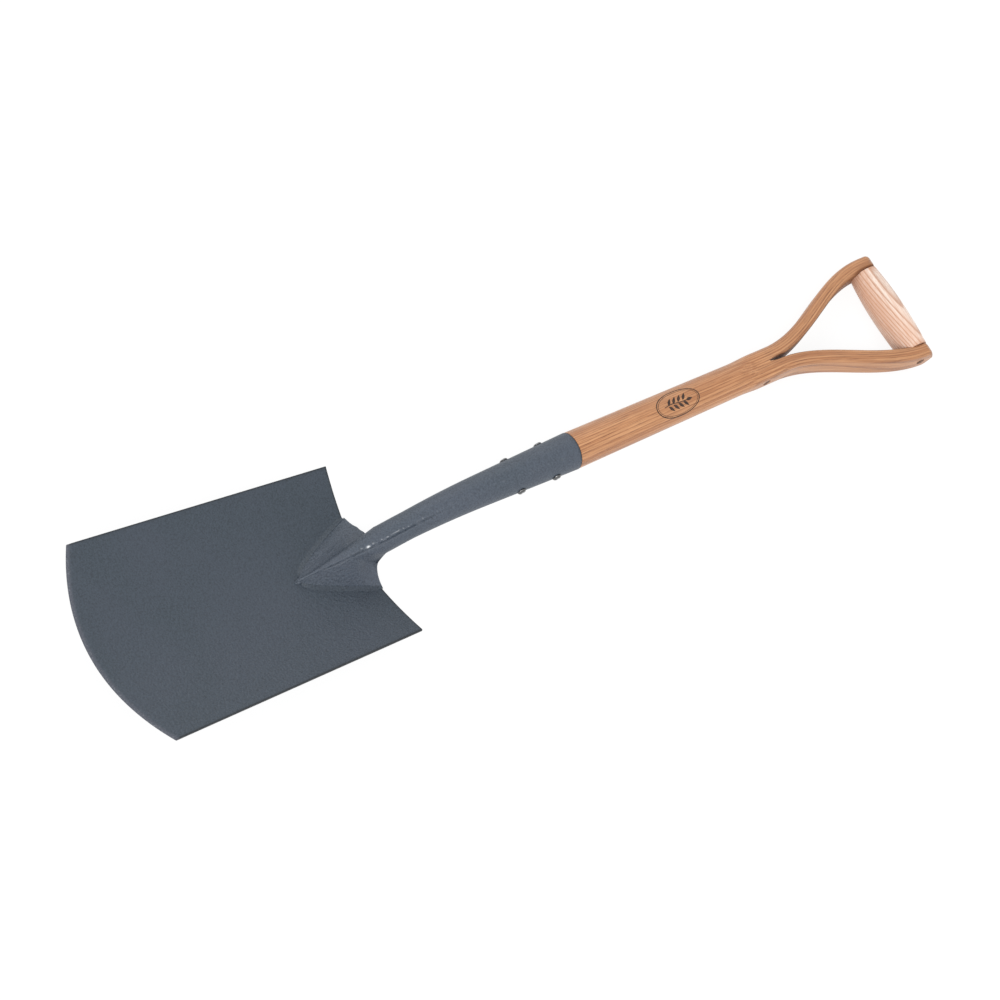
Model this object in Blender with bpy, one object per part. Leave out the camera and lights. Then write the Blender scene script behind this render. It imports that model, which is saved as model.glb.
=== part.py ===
"""Garden digging spade: dished steel blade, cranked steel socket, ash shaft split into a Y, cross grip.

Design frame, in metres: X runs across the blade, Y up the blade towards the grip, Z out of the
dished front face. The origin is the middle of the blade's top edge line. Every piece is built in
this frame and parented to one empty, which lays the spade on its back.
"""
import math

import bmesh
import bpy
from mathutils import Vector

GAP = 0.0003                    # clearance between pieces that touch

# Blade
BLADE_TOP_WIDTH = 0.1870
BLADE_EDGE_WIDTH = 0.2080
BLADE_LENGTH = 0.2910           # along a side edge
EDGE_BOW = 0.0272               # how far the middle of the cutting edge leads its corners
SHOULDER_DROP = 0.0056          # how far the middle of the top edge lies below its corners
DISH_TOP = 0.0212               # depth of the dish at the shoulders
DISH_EDGE = 0.0136              # and at the corners of the cutting edge
DISH_SHAPE = 1.3                # small values make the dish a V, large ones a parabola
BLADE_THICKNESS = 0.0025
GROUND_WIDTH = 0.0055           # ground bevel behind the cutting edge
GROUND_LIP = 0.0009             # thickness left at the very edge

# Axis of the socket and the shaft, seen from the side
LIFT = math.radians(10.95)      # angle between the blade and the straight part of the shaft
AXIS_HEIGHT = 0.0538            # height of that straight line above the blade's top edge
BEND_START = 0.1040             # the socket is straight above this distance along the line
BEND_RADIUS = 0.3200

# Socket
NECK_RADIUS = 0.0137
NECK_END = 0.0250
MOUTH = 0.2155                  # distance of the socket's mouth along the line
MOUTH_RADIUS = 0.01925
SOCKET_WALL = 0.0019
TUBE_START = 0.0120             # first square-cut ring of the tube

# Frog: the flared foot of the socket, on the blade
FROG_APEX = -0.0820
FROG_END = -0.0020
LEFT_WING = 0.0430              # half width of the frog on its wider side
RIGHT_WING = 0.0338
FROG_FLARE = 0.75               # exponent of the wings' outline
FROG_TIP_HEIGHT = 0.0036
FROG_TIP_REACH = 0.0026
FROG_CREST = 0.0496             # height of the crest where the frog becomes the tube
CROWN_TIP = 0.0012              # radius of the ridge at the apex
CROWN_GROWTH = 1.2              # exponent of the ridge's radius towards the tube
CROWN_TALL = 1.18               # the ridge is this much taller than round
WING_SLOPE = 0.60
WING_KNEE = 0.0022              # longest fillet between the ridge's side and a wing
KNEE_LEAST = 0.0003
WING_EDGE = 0.0015              # thickness of the wings at their outline
FROG_FLOOR = 0.0012
CAVITY_START = -0.0500
CAVITY_SIDE = 0.0070            # the cavity's outline lies this far inside the wings' outline
CAVITY_CREST = 0.0025           # the cavity's crest lies this far below the outer crest
BEAD_RADIUS = 0.0013

# Shaft and its arms
TONGUE_END = 0.1000
TONGUE_TIP = 0.82               # the tongue's end is rounded down to this share of its radius
SHAFT_RADIUS = 0.01895          # just above the socket
CROTCH_RADIUS = 0.0166
CROTCH = 0.4625                 # bottom of the slot between the arms
FLAT_START = 0.4200             # the round shaft starts to flatten here
FLAT_END = 0.4480
SHAFT_CORNER = 0.0083           # corner of the flattened shaft
ARM_HALF_THICKNESS = 0.0140
ARM_WIDTH = 0.0150
ARM_CORNER = 0.0045
ARM_FOOT_X = 0.0083             # arm centre line beside the slot
ARM_HEAD_X = 0.0560             # and beside the grip
ARM_LEAN = -0.0005              # the whole handle leans this far to the left
LEAN_RUN = 0.0500               # distance from the slot over which it does so
SWEEP_START = 0.4700
LEFT_SWEEP_END = 0.6260
RIGHT_SWEEP_END = 0.6420
SLOT_HALF = 0.0020
SLOT_ROUND = 0.0090
SLOT_CORNER = 0.0008            # rounding of the arms' inner edges at the slot
PART_RUN = 0.0320               # distance over which the shaft's corners become the arms'
GRIP_AT = 0.6294                # grip axis, along the line

# Grip
GRIP_RADIUS = 0.0181
LEFT_END_RADIUS = 0.0150
RIGHT_END_RADIUS = 0.0158

# Rivets and pins
SOCKET_RIVETS = {"socket_rivet_lower": 0.1455, "socket_rivet_upper": 0.1870}
RIVET_SHANK = 0.0025
RIVET_HEAD_RADIUS = 0.0047
RIVET_HEAD_HEIGHT = 0.0029
CROTCH_RIVET_AT = 0.4538
CROTCH_SHANK = 0.0022
CROTCH_BURR = (0.0160, 0.0040)  # outer face of the burr from the middle, and its radius
GRIP_PIN_SHANK = 0.0025
GRIP_BURR = (0.0627, 0.0040)
BURR_THICKNESS = 0.0012
PIN_HEAD_HEIGHT = 0.0009
PIN_HEAD_OVERLAP = 0.0014       # how far a pin's head reaches past its shank

# Mesh steps
BLADE_COLUMNS = 24
BLADE_ROWS = 14
CROWN_STEPS = 6                 # crown of a socket ring, from the crest to one side
FLARE_STEPS = 4
FLOOR_STEPS = 4
CORNER_STEPS = 5                # quarter turn of a shaft ring
TURN_STEPS = 24

STEEL_PAINT = ((0.085, 0.105, 0.130), 0.42, 0.0)
BARE_STEEL = ((0.55, 0.56, 0.57), 0.35, 1.0)
DARK_STEEL = ((0.10, 0.09, 0.085), 0.55, 0.8)
ASH = ((0.50, 0.27, 0.15), 0.45, 0.0)
PALE_ASH = ((0.78, 0.58, 0.45), 0.50, 0.0)


def clear_scene():
    for old in list(bpy.data.objects):
        bpy.data.objects.remove(old)


def material(name, look):
    colour, roughness, metallic = look
    made = bpy.data.materials.new(name)
    made.use_nodes = True
    shader = made.node_tree.nodes["Principled BSDF"]
    shader.inputs["Base Color"].default_value = (*colour, 1.0)
    shader.inputs["Roughness"].default_value = roughness
    shader.inputs["Metallic"].default_value = metallic
    made.diffuse_color = (*colour, 1.0)
    return made


def add_object(name, bm, look, parent, sharp_angle=35.0):
    """Turn a bmesh into a named, smooth-shaded object under the parent."""
    bmesh.ops.recalc_face_normals(bm, faces=bm.faces)
    mesh = bpy.data.meshes.new(name)
    bm.to_mesh(mesh)
    bm.free()
    mesh.shade_smooth()
    mesh.set_sharp_from_angle(angle=math.radians(sharp_angle))
    mesh.materials.append(material(name + "_finish", look))
    made = bpy.data.objects.new(name, mesh)
    bpy.context.collection.objects.link(made)
    made.parent = parent
    return made


def smooth_step(share):
    """Smooth rise from 0 to 1, held outside that range."""
    held = min(1.0, max(0.0, share))
    return held * held * (3.0 - 2.0 * held)


def spaced(start, stop, count):
    return [start + (stop - start) * i / (count - 1) for i in range(count)]


def bridge(bm, first, second):
    """Quads between two rings of the same length."""
    count = len(first)
    for i in range(count):
        j = (i + 1) % count
        bm.faces.new((first[i], first[j], second[j], second[i]))


def loft(rings):
    """A closed solid through rings of points, capped at both ends."""
    bm = bmesh.new()
    loops = [[bm.verts.new(point) for point in ring] for ring in rings]
    for first, second in zip(loops, loops[1:]):
        bridge(bm, first, second)
    bm.faces.new(loops[0])
    bm.faces.new(loops[-1])
    return bm


def turned(profile, steps=TURN_STEPS):
    """A solid turned about X. The profile is (x, radius) pairs; its end radii are above zero."""
    rings = []
    for x, radius in profile:
        turn = [2.0 * math.pi * i / steps for i in range(steps)]
        rings.append([(x, radius * math.cos(a), radius * math.sin(a)) for a in turn])
    return loft(rings)


# Blade ------------------------------------------------------------------------------------------

def blade_width(y):
    return BLADE_TOP_WIDTH - (BLADE_EDGE_WIDTH - BLADE_TOP_WIDTH) * y / BLADE_LENGTH


def blade_front(x, y):
    """Height of the blade's front face."""
    across = abs(x) / (0.5 * blade_width(y))
    depth = DISH_TOP - (DISH_EDGE - DISH_TOP) * y / BLADE_LENGTH
    rise = math.hypot(across, DISH_SHAPE) - DISH_SHAPE
    return depth * rise / (math.hypot(1.0, DISH_SHAPE) - DISH_SHAPE)


def blade_normal(x, y):
    step = 0.0005
    slope_x = (blade_front(x + step, y) - blade_front(x - step, y)) / (2.0 * step)
    slope_y = (blade_front(x, y + step) - blade_front(x, y - step)) / (2.0 * step)
    return Vector((-slope_x, -slope_y, 1.0)).normalized()


def shoulder_line(across):
    return -SHOULDER_DROP * (1.0 - abs(across))


def cutting_line(across):
    return -BLADE_LENGTH - EDGE_BOW * (1.0 - across * across)


def build_blade(parent):
    bm = bmesh.new()
    front, back = [], []
    for i in range(BLADE_COLUMNS + 1):
        across = -1.0 + 2.0 * i / BLADE_COLUMNS
        top, bottom = shoulder_line(across), cutting_line(across)
        stations = [top + (bottom + GROUND_WIDTH - top) * j / BLADE_ROWS for j in range(BLADE_ROWS + 1)]
        stations.append(bottom)
        front_column, back_column = [], []
        for y in stations:
            x = across * 0.5 * blade_width(y)
            face = Vector((x, y, blade_front(x, y)))
            normal = blade_normal(x, y)
            ground = BLADE_THICKNESS - GROUND_LIP if y == bottom else 0.0
            front_column.append(bm.verts.new(face - normal * ground))
            back_column.append(bm.verts.new(face - normal * BLADE_THICKNESS))
        front.append(front_column)
        back.append(back_column)
    rows = len(front[0])
    for i in range(BLADE_COLUMNS):
        for j in range(rows - 1):
            for grid in (front, back):
                bm.faces.new((grid[i][j], grid[i + 1][j], grid[i + 1][j + 1], grid[i][j + 1]))
    rims = []
    for grid in (front, back):
        rim = [column[0] for column in grid] + grid[-1][1:]
        rim += [column[-1] for column in reversed(grid[:-1])] + list(reversed(grid[0][1:-1]))
        rims.append(rim)
    bridge(bm, rims[0], rims[1])
    return add_object("blade", bm, STEEL_PAINT, parent)


# Axis of the socket and the shaft ---------------------------------------------------------------

def axis_frame(along):
    """Point, forward and outward directions at a distance along the shaft's line."""
    forward = Vector((0.0, math.cos(LIFT), math.sin(LIFT)))
    outward = Vector((0.0, -math.sin(LIFT), math.cos(LIFT)))
    base = Vector((0.0, 0.0, AXIS_HEIGHT))
    if along >= BEND_START:
        return base + forward * along, forward, outward
    turn = (BEND_START - along) / BEND_RADIUS
    centre = base + forward * BEND_START - outward * BEND_RADIUS
    radial = outward * math.cos(turn) - forward * math.sin(turn)
    ahead = forward * math.cos(turn) + outward * math.sin(turn)
    return centre + radial * BEND_RADIUS, ahead, radial


def bend_height(y):
    """Height and slope of the bent axis where it crosses the plane at y."""
    _, forward, outward = axis_frame(BEND_START)
    centre = Vector((0.0, 0.0, AXIS_HEIGHT)) + forward * BEND_START - outward * BEND_RADIUS
    reach = math.sqrt(BEND_RADIUS ** 2 - (y - centre.y) ** 2)
    return centre.z + reach, (centre.y - y) / reach


def place(along, x, out):
    """A point beside the shaft's line: x to the side, out towards the front."""
    point, _, outward = axis_frame(along)
    return Vector((x, point.y, point.z)) + Vector((0.0, outward.y, outward.z)) * out


# Socket -----------------------------------------------------------------------------------------

def socket_radius(along):
    taper = (MOUTH_RADIUS - NECK_RADIUS) / (MOUTH - NECK_END)
    return NECK_RADIUS + taper * max(0.0, along - NECK_END)


def ring_angles():
    """Angles from the crest for half a socket ring, from the crest to the underside."""
    crown = [0.5 * math.pi * i / CROWN_STEPS for i in range(CROWN_STEPS + 1)]
    rest = FLARE_STEPS + FLOOR_STEPS
    return crown + [0.5 * math.pi * (1.0 + i / rest) for i in range(1, rest + 1)]


def whole_ring(right, left):
    """A full ring from two halves; their first and last points lie on the middle plane."""
    return right + [(-x, y, z) for x, y, z in reversed(left[1:-1])]


def tube_ring(along, radius):
    half = [tuple(place(along, radius * math.sin(a), radius * math.cos(a))) for a in ring_angles()]
    return whole_ring(half, half)


def neck_ring(y, radius):
    """Upright section of the tube, where it meets the frog."""
    height, slope = bend_height(y)
    upright = radius * math.hypot(1.0, slope)
    half = [(radius * math.sin(a), y, height + upright * math.cos(a)) for a in ring_angles()]
    return whole_ring(half, half)


def knee_points(crown, crown_centre, reach, foot):
    """From the ridge's upright side round a fillet and down a straight wing to its outline."""
    slope_height = foot + WING_SLOPE * (reach - crown)
    knee = min(slope_height, crown_centre - 2.0 * KNEE_LEAST)
    fillet = max(KNEE_LEAST, min(WING_KNEE, 0.5 * (crown_centre - knee), 0.4 * (reach - crown)))
    length = math.hypot(reach - crown, foot - knee)
    far_x = crown + fillet * (reach - crown) / length
    far_z = knee + fillet * (foot - knee) / length
    near = (crown, knee + fillet)
    middle = (0.75 * crown + 0.25 * far_x, 0.25 * near[1] + 0.5 * knee + 0.25 * far_z)
    return [near, middle, (far_x, far_z), (reach, foot)]


def frog_half(y, half_width, hollow, winged):
    """Right half of an upright section of the frog: ridge, wing, and a floor along the blade.

    Hollow gives the cavity's section. Without wings the sides drop straight to the floor.
    """
    grown = (y - FROG_APEX) / (FROG_END - FROG_APEX)
    crest = FROG_TIP_HEIGHT + (FROG_CREST - FROG_TIP_HEIGHT) * grown
    crown = max(CROWN_TIP, NECK_RADIUS * grown ** CROWN_GROWTH)
    reach = max(FROG_TIP_REACH, half_width * grown ** FROG_FLARE)
    floor, edge = GAP, WING_EDGE
    if hollow:
        crown -= SOCKET_WALL
        crest -= CAVITY_CREST
        reach -= CAVITY_SIDE
        floor += FROG_FLOOR
        edge *= 0.5
    crown_centre = crest - CROWN_TALL * crown
    half = []
    for i in range(CROWN_STEPS + 1):
        a = 0.5 * math.pi * i / CROWN_STEPS
        half.append((crown * math.sin(a), y, crown_centre + (crest - crown_centre) * math.cos(a)))
    if winged:
        foot = blade_front(reach, y) + floor + edge
        half += [(x, y, z) for x, z in knee_points(crown, crown_centre, reach, foot)]
    else:
        reach = crown
        foot = blade_front(reach, y) + floor + edge
        drop = spaced(crown_centre, foot, FLARE_STEPS + 1)
        half += [(crown, y, z) for z in drop[1:]]
    for x in spaced(reach, 0.0, FLOOR_STEPS):
        half.append((x, y, blade_front(x, y) + floor))
    return half


def frog_ring(y, hollow=False, winged=True):
    right = frog_half(y, RIGHT_WING, hollow, winged)
    left = frog_half(y, LEFT_WING, hollow, winged)
    return whole_ring(right, left)


def build_socket(parent, cutter):
    outside = [frog_ring(y) for y in spaced(FROG_APEX, FROG_END, 12)]
    outside.append(frog_ring(FROG_END + 0.0010, winged=False))
    outside.append(neck_ring(FROG_END + 0.0025, NECK_RADIUS))
    along_tube = spaced(TUBE_START, BEND_START, 8) + spaced(BEND_START + 0.028, MOUTH, 5)
    outside += [tube_ring(s, socket_radius(s)) for s in along_tube]
    inside = [tube_ring(s, socket_radius(s) - SOCKET_WALL) for s in reversed(along_tube)]
    inside.append(neck_ring(FROG_END - 0.0010, NECK_RADIUS - SOCKET_WALL))
    inside.append(frog_ring(FROG_END - 0.0025, hollow=True, winged=False))
    inside += [frog_ring(y, hollow=True) for y in spaced(FROG_END - 0.0035, CAVITY_START, 6)]
    socket = add_object("socket", loft(outside + inside), STEEL_PAINT, parent)
    cut(socket, cutter)
    return socket


def build_bead(name, route, parent):
    """A weld bead: a thin round run along a route of points, thinner at its ends."""
    rings = []
    for i, point in enumerate(route):
        before = route[max(0, i - 1)]
        after = route[min(len(route) - 1, i + 1)]
        ahead = (after - before).normalized()
        side = ahead.cross(Vector((0.0, 0.0, 1.0))).normalized()
        up = side.cross(ahead)
        radius = BEAD_RADIUS * (0.55 if i in (0, len(route) - 1) else 1.0)
        turn = [2.0 * math.pi * k / 8 for k in range(8)]
        rings.append([tuple(point + side * radius * math.cos(a) + up * radius * math.sin(a)) for a in turn])
    return add_object(name, loft(rings), STEEL_PAINT, parent)


def build_beads(parent):
    """Beads beside both wings of the frog, and one behind the blade's top edge."""
    clear = BEAD_RADIUS + 0.0008
    for name, side, wing in (("weld_bead_left", -1.0, LEFT_WING), ("weld_bead_right", 1.0, RIGHT_WING)):
        route = []
        for grown in spaced(0.06, 0.97, 11):
            y = FROG_APEX + (FROG_END - FROG_APEX) * grown
            x = side * (wing * grown ** FROG_FLARE + clear + 0.0006 / grown ** 0.3)
            surface = Vector((x, y, blade_front(x, y)))
            route.append(surface + blade_normal(x, y) * (BEAD_RADIUS + GAP))
        build_bead(name, route, parent)
    route = []
    for x in spaced(-0.036, 0.036, 13):
        y = shoulder_line(x / (0.5 * BLADE_TOP_WIDTH)) + BEAD_RADIUS + 0.0005
        route.append(Vector((x, y, blade_front(x, y) - BEAD_RADIUS)))
    build_bead("weld_bead_back", route, parent)


# Shaft ------------------------------------------------------------------------------------------

def tongue_radius(along):
    return socket_radius(along) - SOCKET_WALL - GAP


def shaft_radius(along):
    taper = (CROTCH_RADIUS - SHAFT_RADIUS) / (CROTCH - MOUTH)
    return SHAFT_RADIUS + taper * (along - MOUTH)


def rounded_half(half_width, half_depth, corner):
    """Right half of a rounded rectangle, from the back middle round to the front middle."""
    points = [(0.0, -half_depth)]
    for sign in (-1.0, 1.0):
        for i in range(CORNER_STEPS + 1):
            a = 0.5 * math.pi * (i / CORNER_STEPS if sign < 0.0 else 1.0 - i / CORNER_STEPS)
            x = half_width - corner + corner * math.sin(a)
            points.append((x, sign * (half_depth - corner + corner * math.cos(a))))
    points.append((0.0, half_depth))
    return points


def shaft_half(along, radius):
    """Right half of the shaft's section: round, then flattened front and back below the slot."""
    flat = smooth_step((along - FLAT_START) / (FLAT_END - FLAT_START))
    depth = radius + (ARM_HALF_THICKNESS - radius) * flat
    round_corner = 0.99 * radius
    corner = round_corner + (SHAFT_CORNER - round_corner) * flat
    return rounded_half(radius, depth, min(corner, 0.99 * depth))


def arm_middle(along, side):
    """Sideways place of an arm's centre line, and its slope: an S-shaped sweep."""
    sweep_end = LEFT_SWEEP_END if side < 0.0 else RIGHT_SWEEP_END
    span = sweep_end - SWEEP_START
    t = min(1.0, max(0.0, (along - SWEEP_START) / span))
    wide = ARM_HEAD_X - ARM_FOOT_X
    slope = 0.5 * math.pi * wide * math.sin(math.pi * t) / span
    return ARM_FOOT_X + 0.5 * wide * (1.0 - math.cos(math.pi * t)), slope


def inner_wall(reach, depth, corner):
    """Inner side of an arm from its front to its back: offset from the centre line, and height."""
    arc = [0.5 * math.pi * i / CORNER_STEPS for i in range(1, CORNER_STEPS + 1)]
    front = [(corner - reach - corner * math.sin(a), depth - corner + corner * math.cos(a)) for a in arc]
    return front + [(x, -d) for x, d in reversed(front)]


def arm_loop(along, side):
    """Section of one arm, square to its centre line: round its outer side, then its inner side."""
    middle, slope = arm_middle(along, side)
    opened = min(1.0, (along - CROTCH) / SLOT_ROUND)
    slot = SLOT_HALF * opened ** 0.6
    inner = middle - max(middle - 0.5 * ARM_WIDTH, slot)
    parted = smooth_step((along - CROTCH) / PART_RUN)
    outer = (1.0 - parted) * (shaft_radius(CROTCH) - ARM_FOOT_X) + parted * 0.5 * ARM_WIDTH
    past = max(0.0, along - GRIP_AT)
    end_radius = LEFT_END_RADIUS if side < 0.0 else RIGHT_END_RADIUS
    depth = min(ARM_HALF_THICKNESS, math.sqrt(max(0.0, end_radius ** 2 - past ** 2)))
    corner = min(SHAFT_CORNER + (ARM_CORNER - SHAFT_CORNER) * parted, 0.8 * depth, 0.99 * outer)
    inner_corner = min(SLOT_CORNER + (ARM_CORNER - SLOT_CORNER) * parted, 0.8 * depth)
    flat_end = inner_corner - inner
    outer_half = rounded_half(outer, depth, corner)
    section = [(flat_end, -depth)] + outer_half[1:-1] + [(flat_end, depth)]
    section += inner_wall(inner, depth, inner_corner)
    turn = math.atan(slope)
    lean = ARM_LEAN * smooth_step((along - CROTCH) / LEAN_RUN)
    loop = []
    for x, d in section:
        shifted = along - x * math.sin(turn)
        loop.append(tuple(place(shifted, lean + side * (middle + x * math.cos(turn)), d)))
    return loop


def arm_stations(side):
    end_radius = LEFT_END_RADIUS if side < 0.0 else RIGHT_END_RADIUS
    near_slot = [CROTCH + step for step in (0.0004, 0.0012, 0.0024, 0.0040)]
    sweep = spaced(CROTCH + 0.008, GRIP_AT - 0.012, 16)
    end = [GRIP_AT + end_radius * math.sin(a) for a in (0.0, 0.46, 0.74, 1.0, 1.2, 1.36, 1.47)]
    return near_slot + sweep + end


def build_shaft(parent, cutter):
    """One solid: tongue in the socket, tapered shaft, and two arms that leave it at the slot."""
    bm = bmesh.new()
    shoulder = MOUTH + GAP
    sections = [(TONGUE_END, shaft_half(TONGUE_END, TONGUE_TIP * tongue_radius(TONGUE_END)))]
    for along in spaced(TONGUE_END + 0.006, shoulder, 6):
        sections.append((along, shaft_half(along, tongue_radius(along))))
    for along in [shoulder] + spaced(0.245, FLAT_START, 7) + spaced(FLAT_START + 0.006, CROTCH, 7):
        sections.append((along, shaft_half(along, shaft_radius(along))))
    rings = []
    for along, half in sections:
        whole = half + [(-x, d) for x, d in reversed(half[1:-1])]
        rings.append([bm.verts.new(place(along, x, d)) for x, d in whole])
    for first, second in zip(rings, rings[1:]):
        bridge(bm, first, second)
    bm.faces.new(rings[0])
    crotch = rings[-1]
    half_count = len(sections[-1][1])
    wall = inner_wall(0.0, ARM_HALF_THICKNESS, SLOT_CORNER)
    saddle = [bm.verts.new(place(CROTCH, 0.0, d)) for _, d in wall]
    right = crotch[:half_count] + saddle
    left = [crotch[0]] + list(reversed(crotch[half_count - 1:]))[:-1] + [crotch[half_count - 1]] + saddle
    for side, start in ((1.0, right), (-1.0, left)):
        previous = start
        for along in arm_stations(side):
            loop = [bm.verts.new(point) for point in arm_loop(along, side)]
            bridge(bm, previous, loop)
            previous = loop
        bm.faces.new(previous)
    shaft = add_object("shaft", bm, ASH, parent)
    cut(shaft, cutter)
    return shaft


# Grip, rivets and pins --------------------------------------------------------------------------

def cross_piece(name, bm, look, along, parent, x=0.0):
    """Place a piece that was turned about X on the shaft's line, or beside it."""
    made = add_object(name, bm, look, parent)
    point, _, _ = axis_frame(along)
    made.location = (x, point.y, point.z)
    made.rotation_euler = (LIFT, 0.0, 0.0)
    return made


def build_grip(parent, cutter):
    half = ARM_HEAD_X - 0.5 * ARM_WIDTH - GAP
    profile = []
    for x in spaced(-half, half, 13):
        share = (x / half) ** 2
        end_radius = LEFT_END_RADIUS if x < 0.0 else RIGHT_END_RADIUS
        profile.append((x, GRIP_RADIUS - (GRIP_RADIUS - end_radius) * share))
    first, last = profile[0], profile[-1]
    profile[0] = (first[0] + 0.001, first[1])
    profile[-1] = (last[0] - 0.001, last[1])
    profile = [(first[0], first[1] - 0.001)] + profile + [(last[0], last[1] - 0.001)]
    grip = cross_piece("grip", turned(profile, 28), PALE_ASH, GRIP_AT, parent, ARM_LEAN)
    cut(grip, cutter)
    return grip


def dome(base, height, radius, direction):
    """Profile of a domed head from its rim to its top, along +X or -X."""
    profile = []
    for i in range(5):
        a = 0.5 * math.pi * i / 4.6
        profile.append((direction * (base + height * math.sin(a)), radius * math.cos(a)))
    return profile


def pin_profile(face, head_height, head_radius, shank):
    right = dome(face, head_height, head_radius, 1.0)
    left = list(reversed(dome(face, head_height, head_radius, -1.0)))
    return left + [(-face, shank), (face, shank)] + right


def washer_mesh(near, far, outer, inner, steps=20):
    """A flat ring about X."""
    bm = bmesh.new()
    loops = []
    for x, radius in ((near, inner), (near, outer), (far, outer), (far, inner)):
        turn = [2.0 * math.pi * i / steps for i in range(steps)]
        loops.append([bm.verts.new((x, radius * math.cos(a), radius * math.sin(a))) for a in turn])
    for i in range(4):
        bridge(bm, loops[i], loops[(i + 1) % 4])
    return bm


def build_pins(parent):
    for name, along in SOCKET_RIVETS.items():
        face = socket_radius(along) + GAP
        profile = pin_profile(face, RIVET_HEAD_HEIGHT, RIVET_HEAD_RADIUS, RIVET_SHANK)
        cross_piece(name, turned(profile, 16), BARE_STEEL, along, parent)
    pins = (
        ("crotch_rivet", "crotch_burr", CROTCH_RIVET_AT, 0.0, CROTCH_SHANK, CROTCH_BURR),
        ("grip_pin", "grip_burr", GRIP_AT, ARM_LEAN, GRIP_PIN_SHANK, GRIP_BURR),
    )
    for name, burr, along, x, shank, (face, burr_radius) in pins:
        profile = pin_profile(face + GAP, PIN_HEAD_HEIGHT, shank + PIN_HEAD_OVERLAP, shank)
        cross_piece(name, turned(profile, 16), DARK_STEEL, along, parent, x)
        for end, side in (("left", -1.0), ("right", 1.0)):
            washer = washer_mesh(side * (face - BURR_THICKNESS), side * face, burr_radius, shank + GAP)
            cross_piece(burr + "_" + end, washer, DARK_STEEL, along, parent, x)


# Holes ------------------------------------------------------------------------------------------

def cut(target, cutter):
    hole = target.modifiers.new("holes", "BOOLEAN")
    hole.operation = "DIFFERENCE"
    hole.object = cutter
    hole.solver = "EXACT"


def make_cutter(name, parent, bars):
    """Stepped bars across the shaft's line: (distance along it, offset, profile of x and radius)."""
    bm = bmesh.new()
    for along, offset, profile in bars:
        point, ahead, outward = axis_frame(along)
        turn = [2.0 * math.pi * (i + 0.5) / 16 for i in range(16)]
        loops = []
        for x, radius in profile:
            ring = [point + ahead * radius * math.cos(a) + outward * radius * math.sin(a) for a in turn]
            loops.append([bm.verts.new((x + offset, p.y, p.z)) for p in ring])
        for first, second in zip(loops, loops[1:]):
            bridge(bm, first, second)
        bm.faces.new(loops[0])
        bm.faces.new(loops[-1])
    made = add_object(name, bm, DARK_STEEL, parent)
    made.hide_render = True
    made.display_type = "WIRE"
    return made


def plain_bar(along, offset, half_length, radius):
    return (along, offset, [(-half_length, radius), (half_length, radius)])


def seated_bar(along, offset, half_length, face, burr_radius, shank, middle=()):
    """A rivet hole that widens at both ends into a seat for a burr."""
    seat = face - BURR_THICKNESS - GAP
    wide, narrow = burr_radius + GAP, shank + GAP
    left = [(-half_length, wide), (-seat, wide), (-seat, narrow)]
    right = [(seat, narrow), (seat, wide), (half_length, wide)]
    return (along, offset, left + list(middle) + right)


def socket_rivet_bars():
    return [plain_bar(along, 0.0, 0.03, RIVET_SHANK + GAP) for along in SOCKET_RIVETS.values()]


def shaft_bars():
    bars = socket_rivet_bars()
    bars.append(seated_bar(CROTCH_RIVET_AT, 0.0, 0.025, *CROTCH_BURR, CROTCH_SHANK))
    cheek = ARM_HEAD_X - 0.5 * ARM_WIDTH
    narrow, wide = GRIP_PIN_SHANK + GAP, RIGHT_END_RADIUS + 2.0 * GAP
    grip_seat = [(-cheek, narrow), (-cheek, wide), (cheek, wide), (cheek, narrow)]
    bars.append(seated_bar(GRIP_AT, ARM_LEAN, 0.075, *GRIP_BURR, GRIP_PIN_SHANK, grip_seat))
    return bars


# Rest pose --------------------------------------------------------------------------------------

def lay_down(frame):
    """Tip the spade back until its heel and its grip are level, then centre it on the floor."""
    heel = Vector((0.0, shoulder_line(0.0), -BLADE_THICKNESS))
    grip, _, _ = axis_frame(GRIP_AT)
    reach = grip - heel
    tilt = math.atan2(reach.z, reach.y) - math.asin(GRIP_RADIUS / reach.length)
    frame.rotation_euler = (-tilt, 0.0, 0.0)
    bpy.context.view_layer.update()
    depsgraph = bpy.context.evaluated_depsgraph_get()
    low, high = Vector((1e3, 1e3, 1e3)), Vector((-1e3, -1e3, -1e3))
    for child in frame.children:
        if child.hide_render:
            continue
        shape = child.evaluated_get(depsgraph).to_mesh()
        for vertex in shape.vertices:
            point = child.matrix_world @ vertex.co
            for k in range(3):
                low[k] = min(low[k], point[k])
                high[k] = max(high[k], point[k])
    frame.location = (-0.5 * (low.x + high.x), -0.5 * (low.y + high.y), -low.z)
    bpy.context.view_layer.update()


def main():
    clear_scene()
    frame = bpy.data.objects.new("spade_frame", None)
    bpy.context.collection.objects.link(frame)
    socket_cutter = make_cutter("socket_hole_cutter", frame, socket_rivet_bars())
    shaft_cutter = make_cutter("shaft_hole_cutter", frame, shaft_bars())
    grip_bar = plain_bar(GRIP_AT, ARM_LEAN, 0.07, GRIP_PIN_SHANK + GAP)
    grip_cutter = make_cutter("grip_hole_cutter", frame, [grip_bar])
    build_blade(frame)
    build_socket(frame, socket_cutter)
    build_beads(frame)
    build_shaft(frame, shaft_cutter)
    build_grip(frame, grip_cutter)
    build_pins(frame)
    lay_down(frame)


main()
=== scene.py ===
"""Looks of the garden spade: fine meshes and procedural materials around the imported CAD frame.

Every piece is built in the spade's own design frame, in metres: X across the blade, Y up the blade
towards the grip, Z out of the dished front face, origin in the middle of the blade's top edge.
REST then lays it on the floor, exactly over the CAD solids.
"""
from math import atan, atan2, cos, exp, hypot, pi, radians, sin, sqrt

import bmesh
import bpy
from mathutils import Euler, Matrix, Vector, noise


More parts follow.
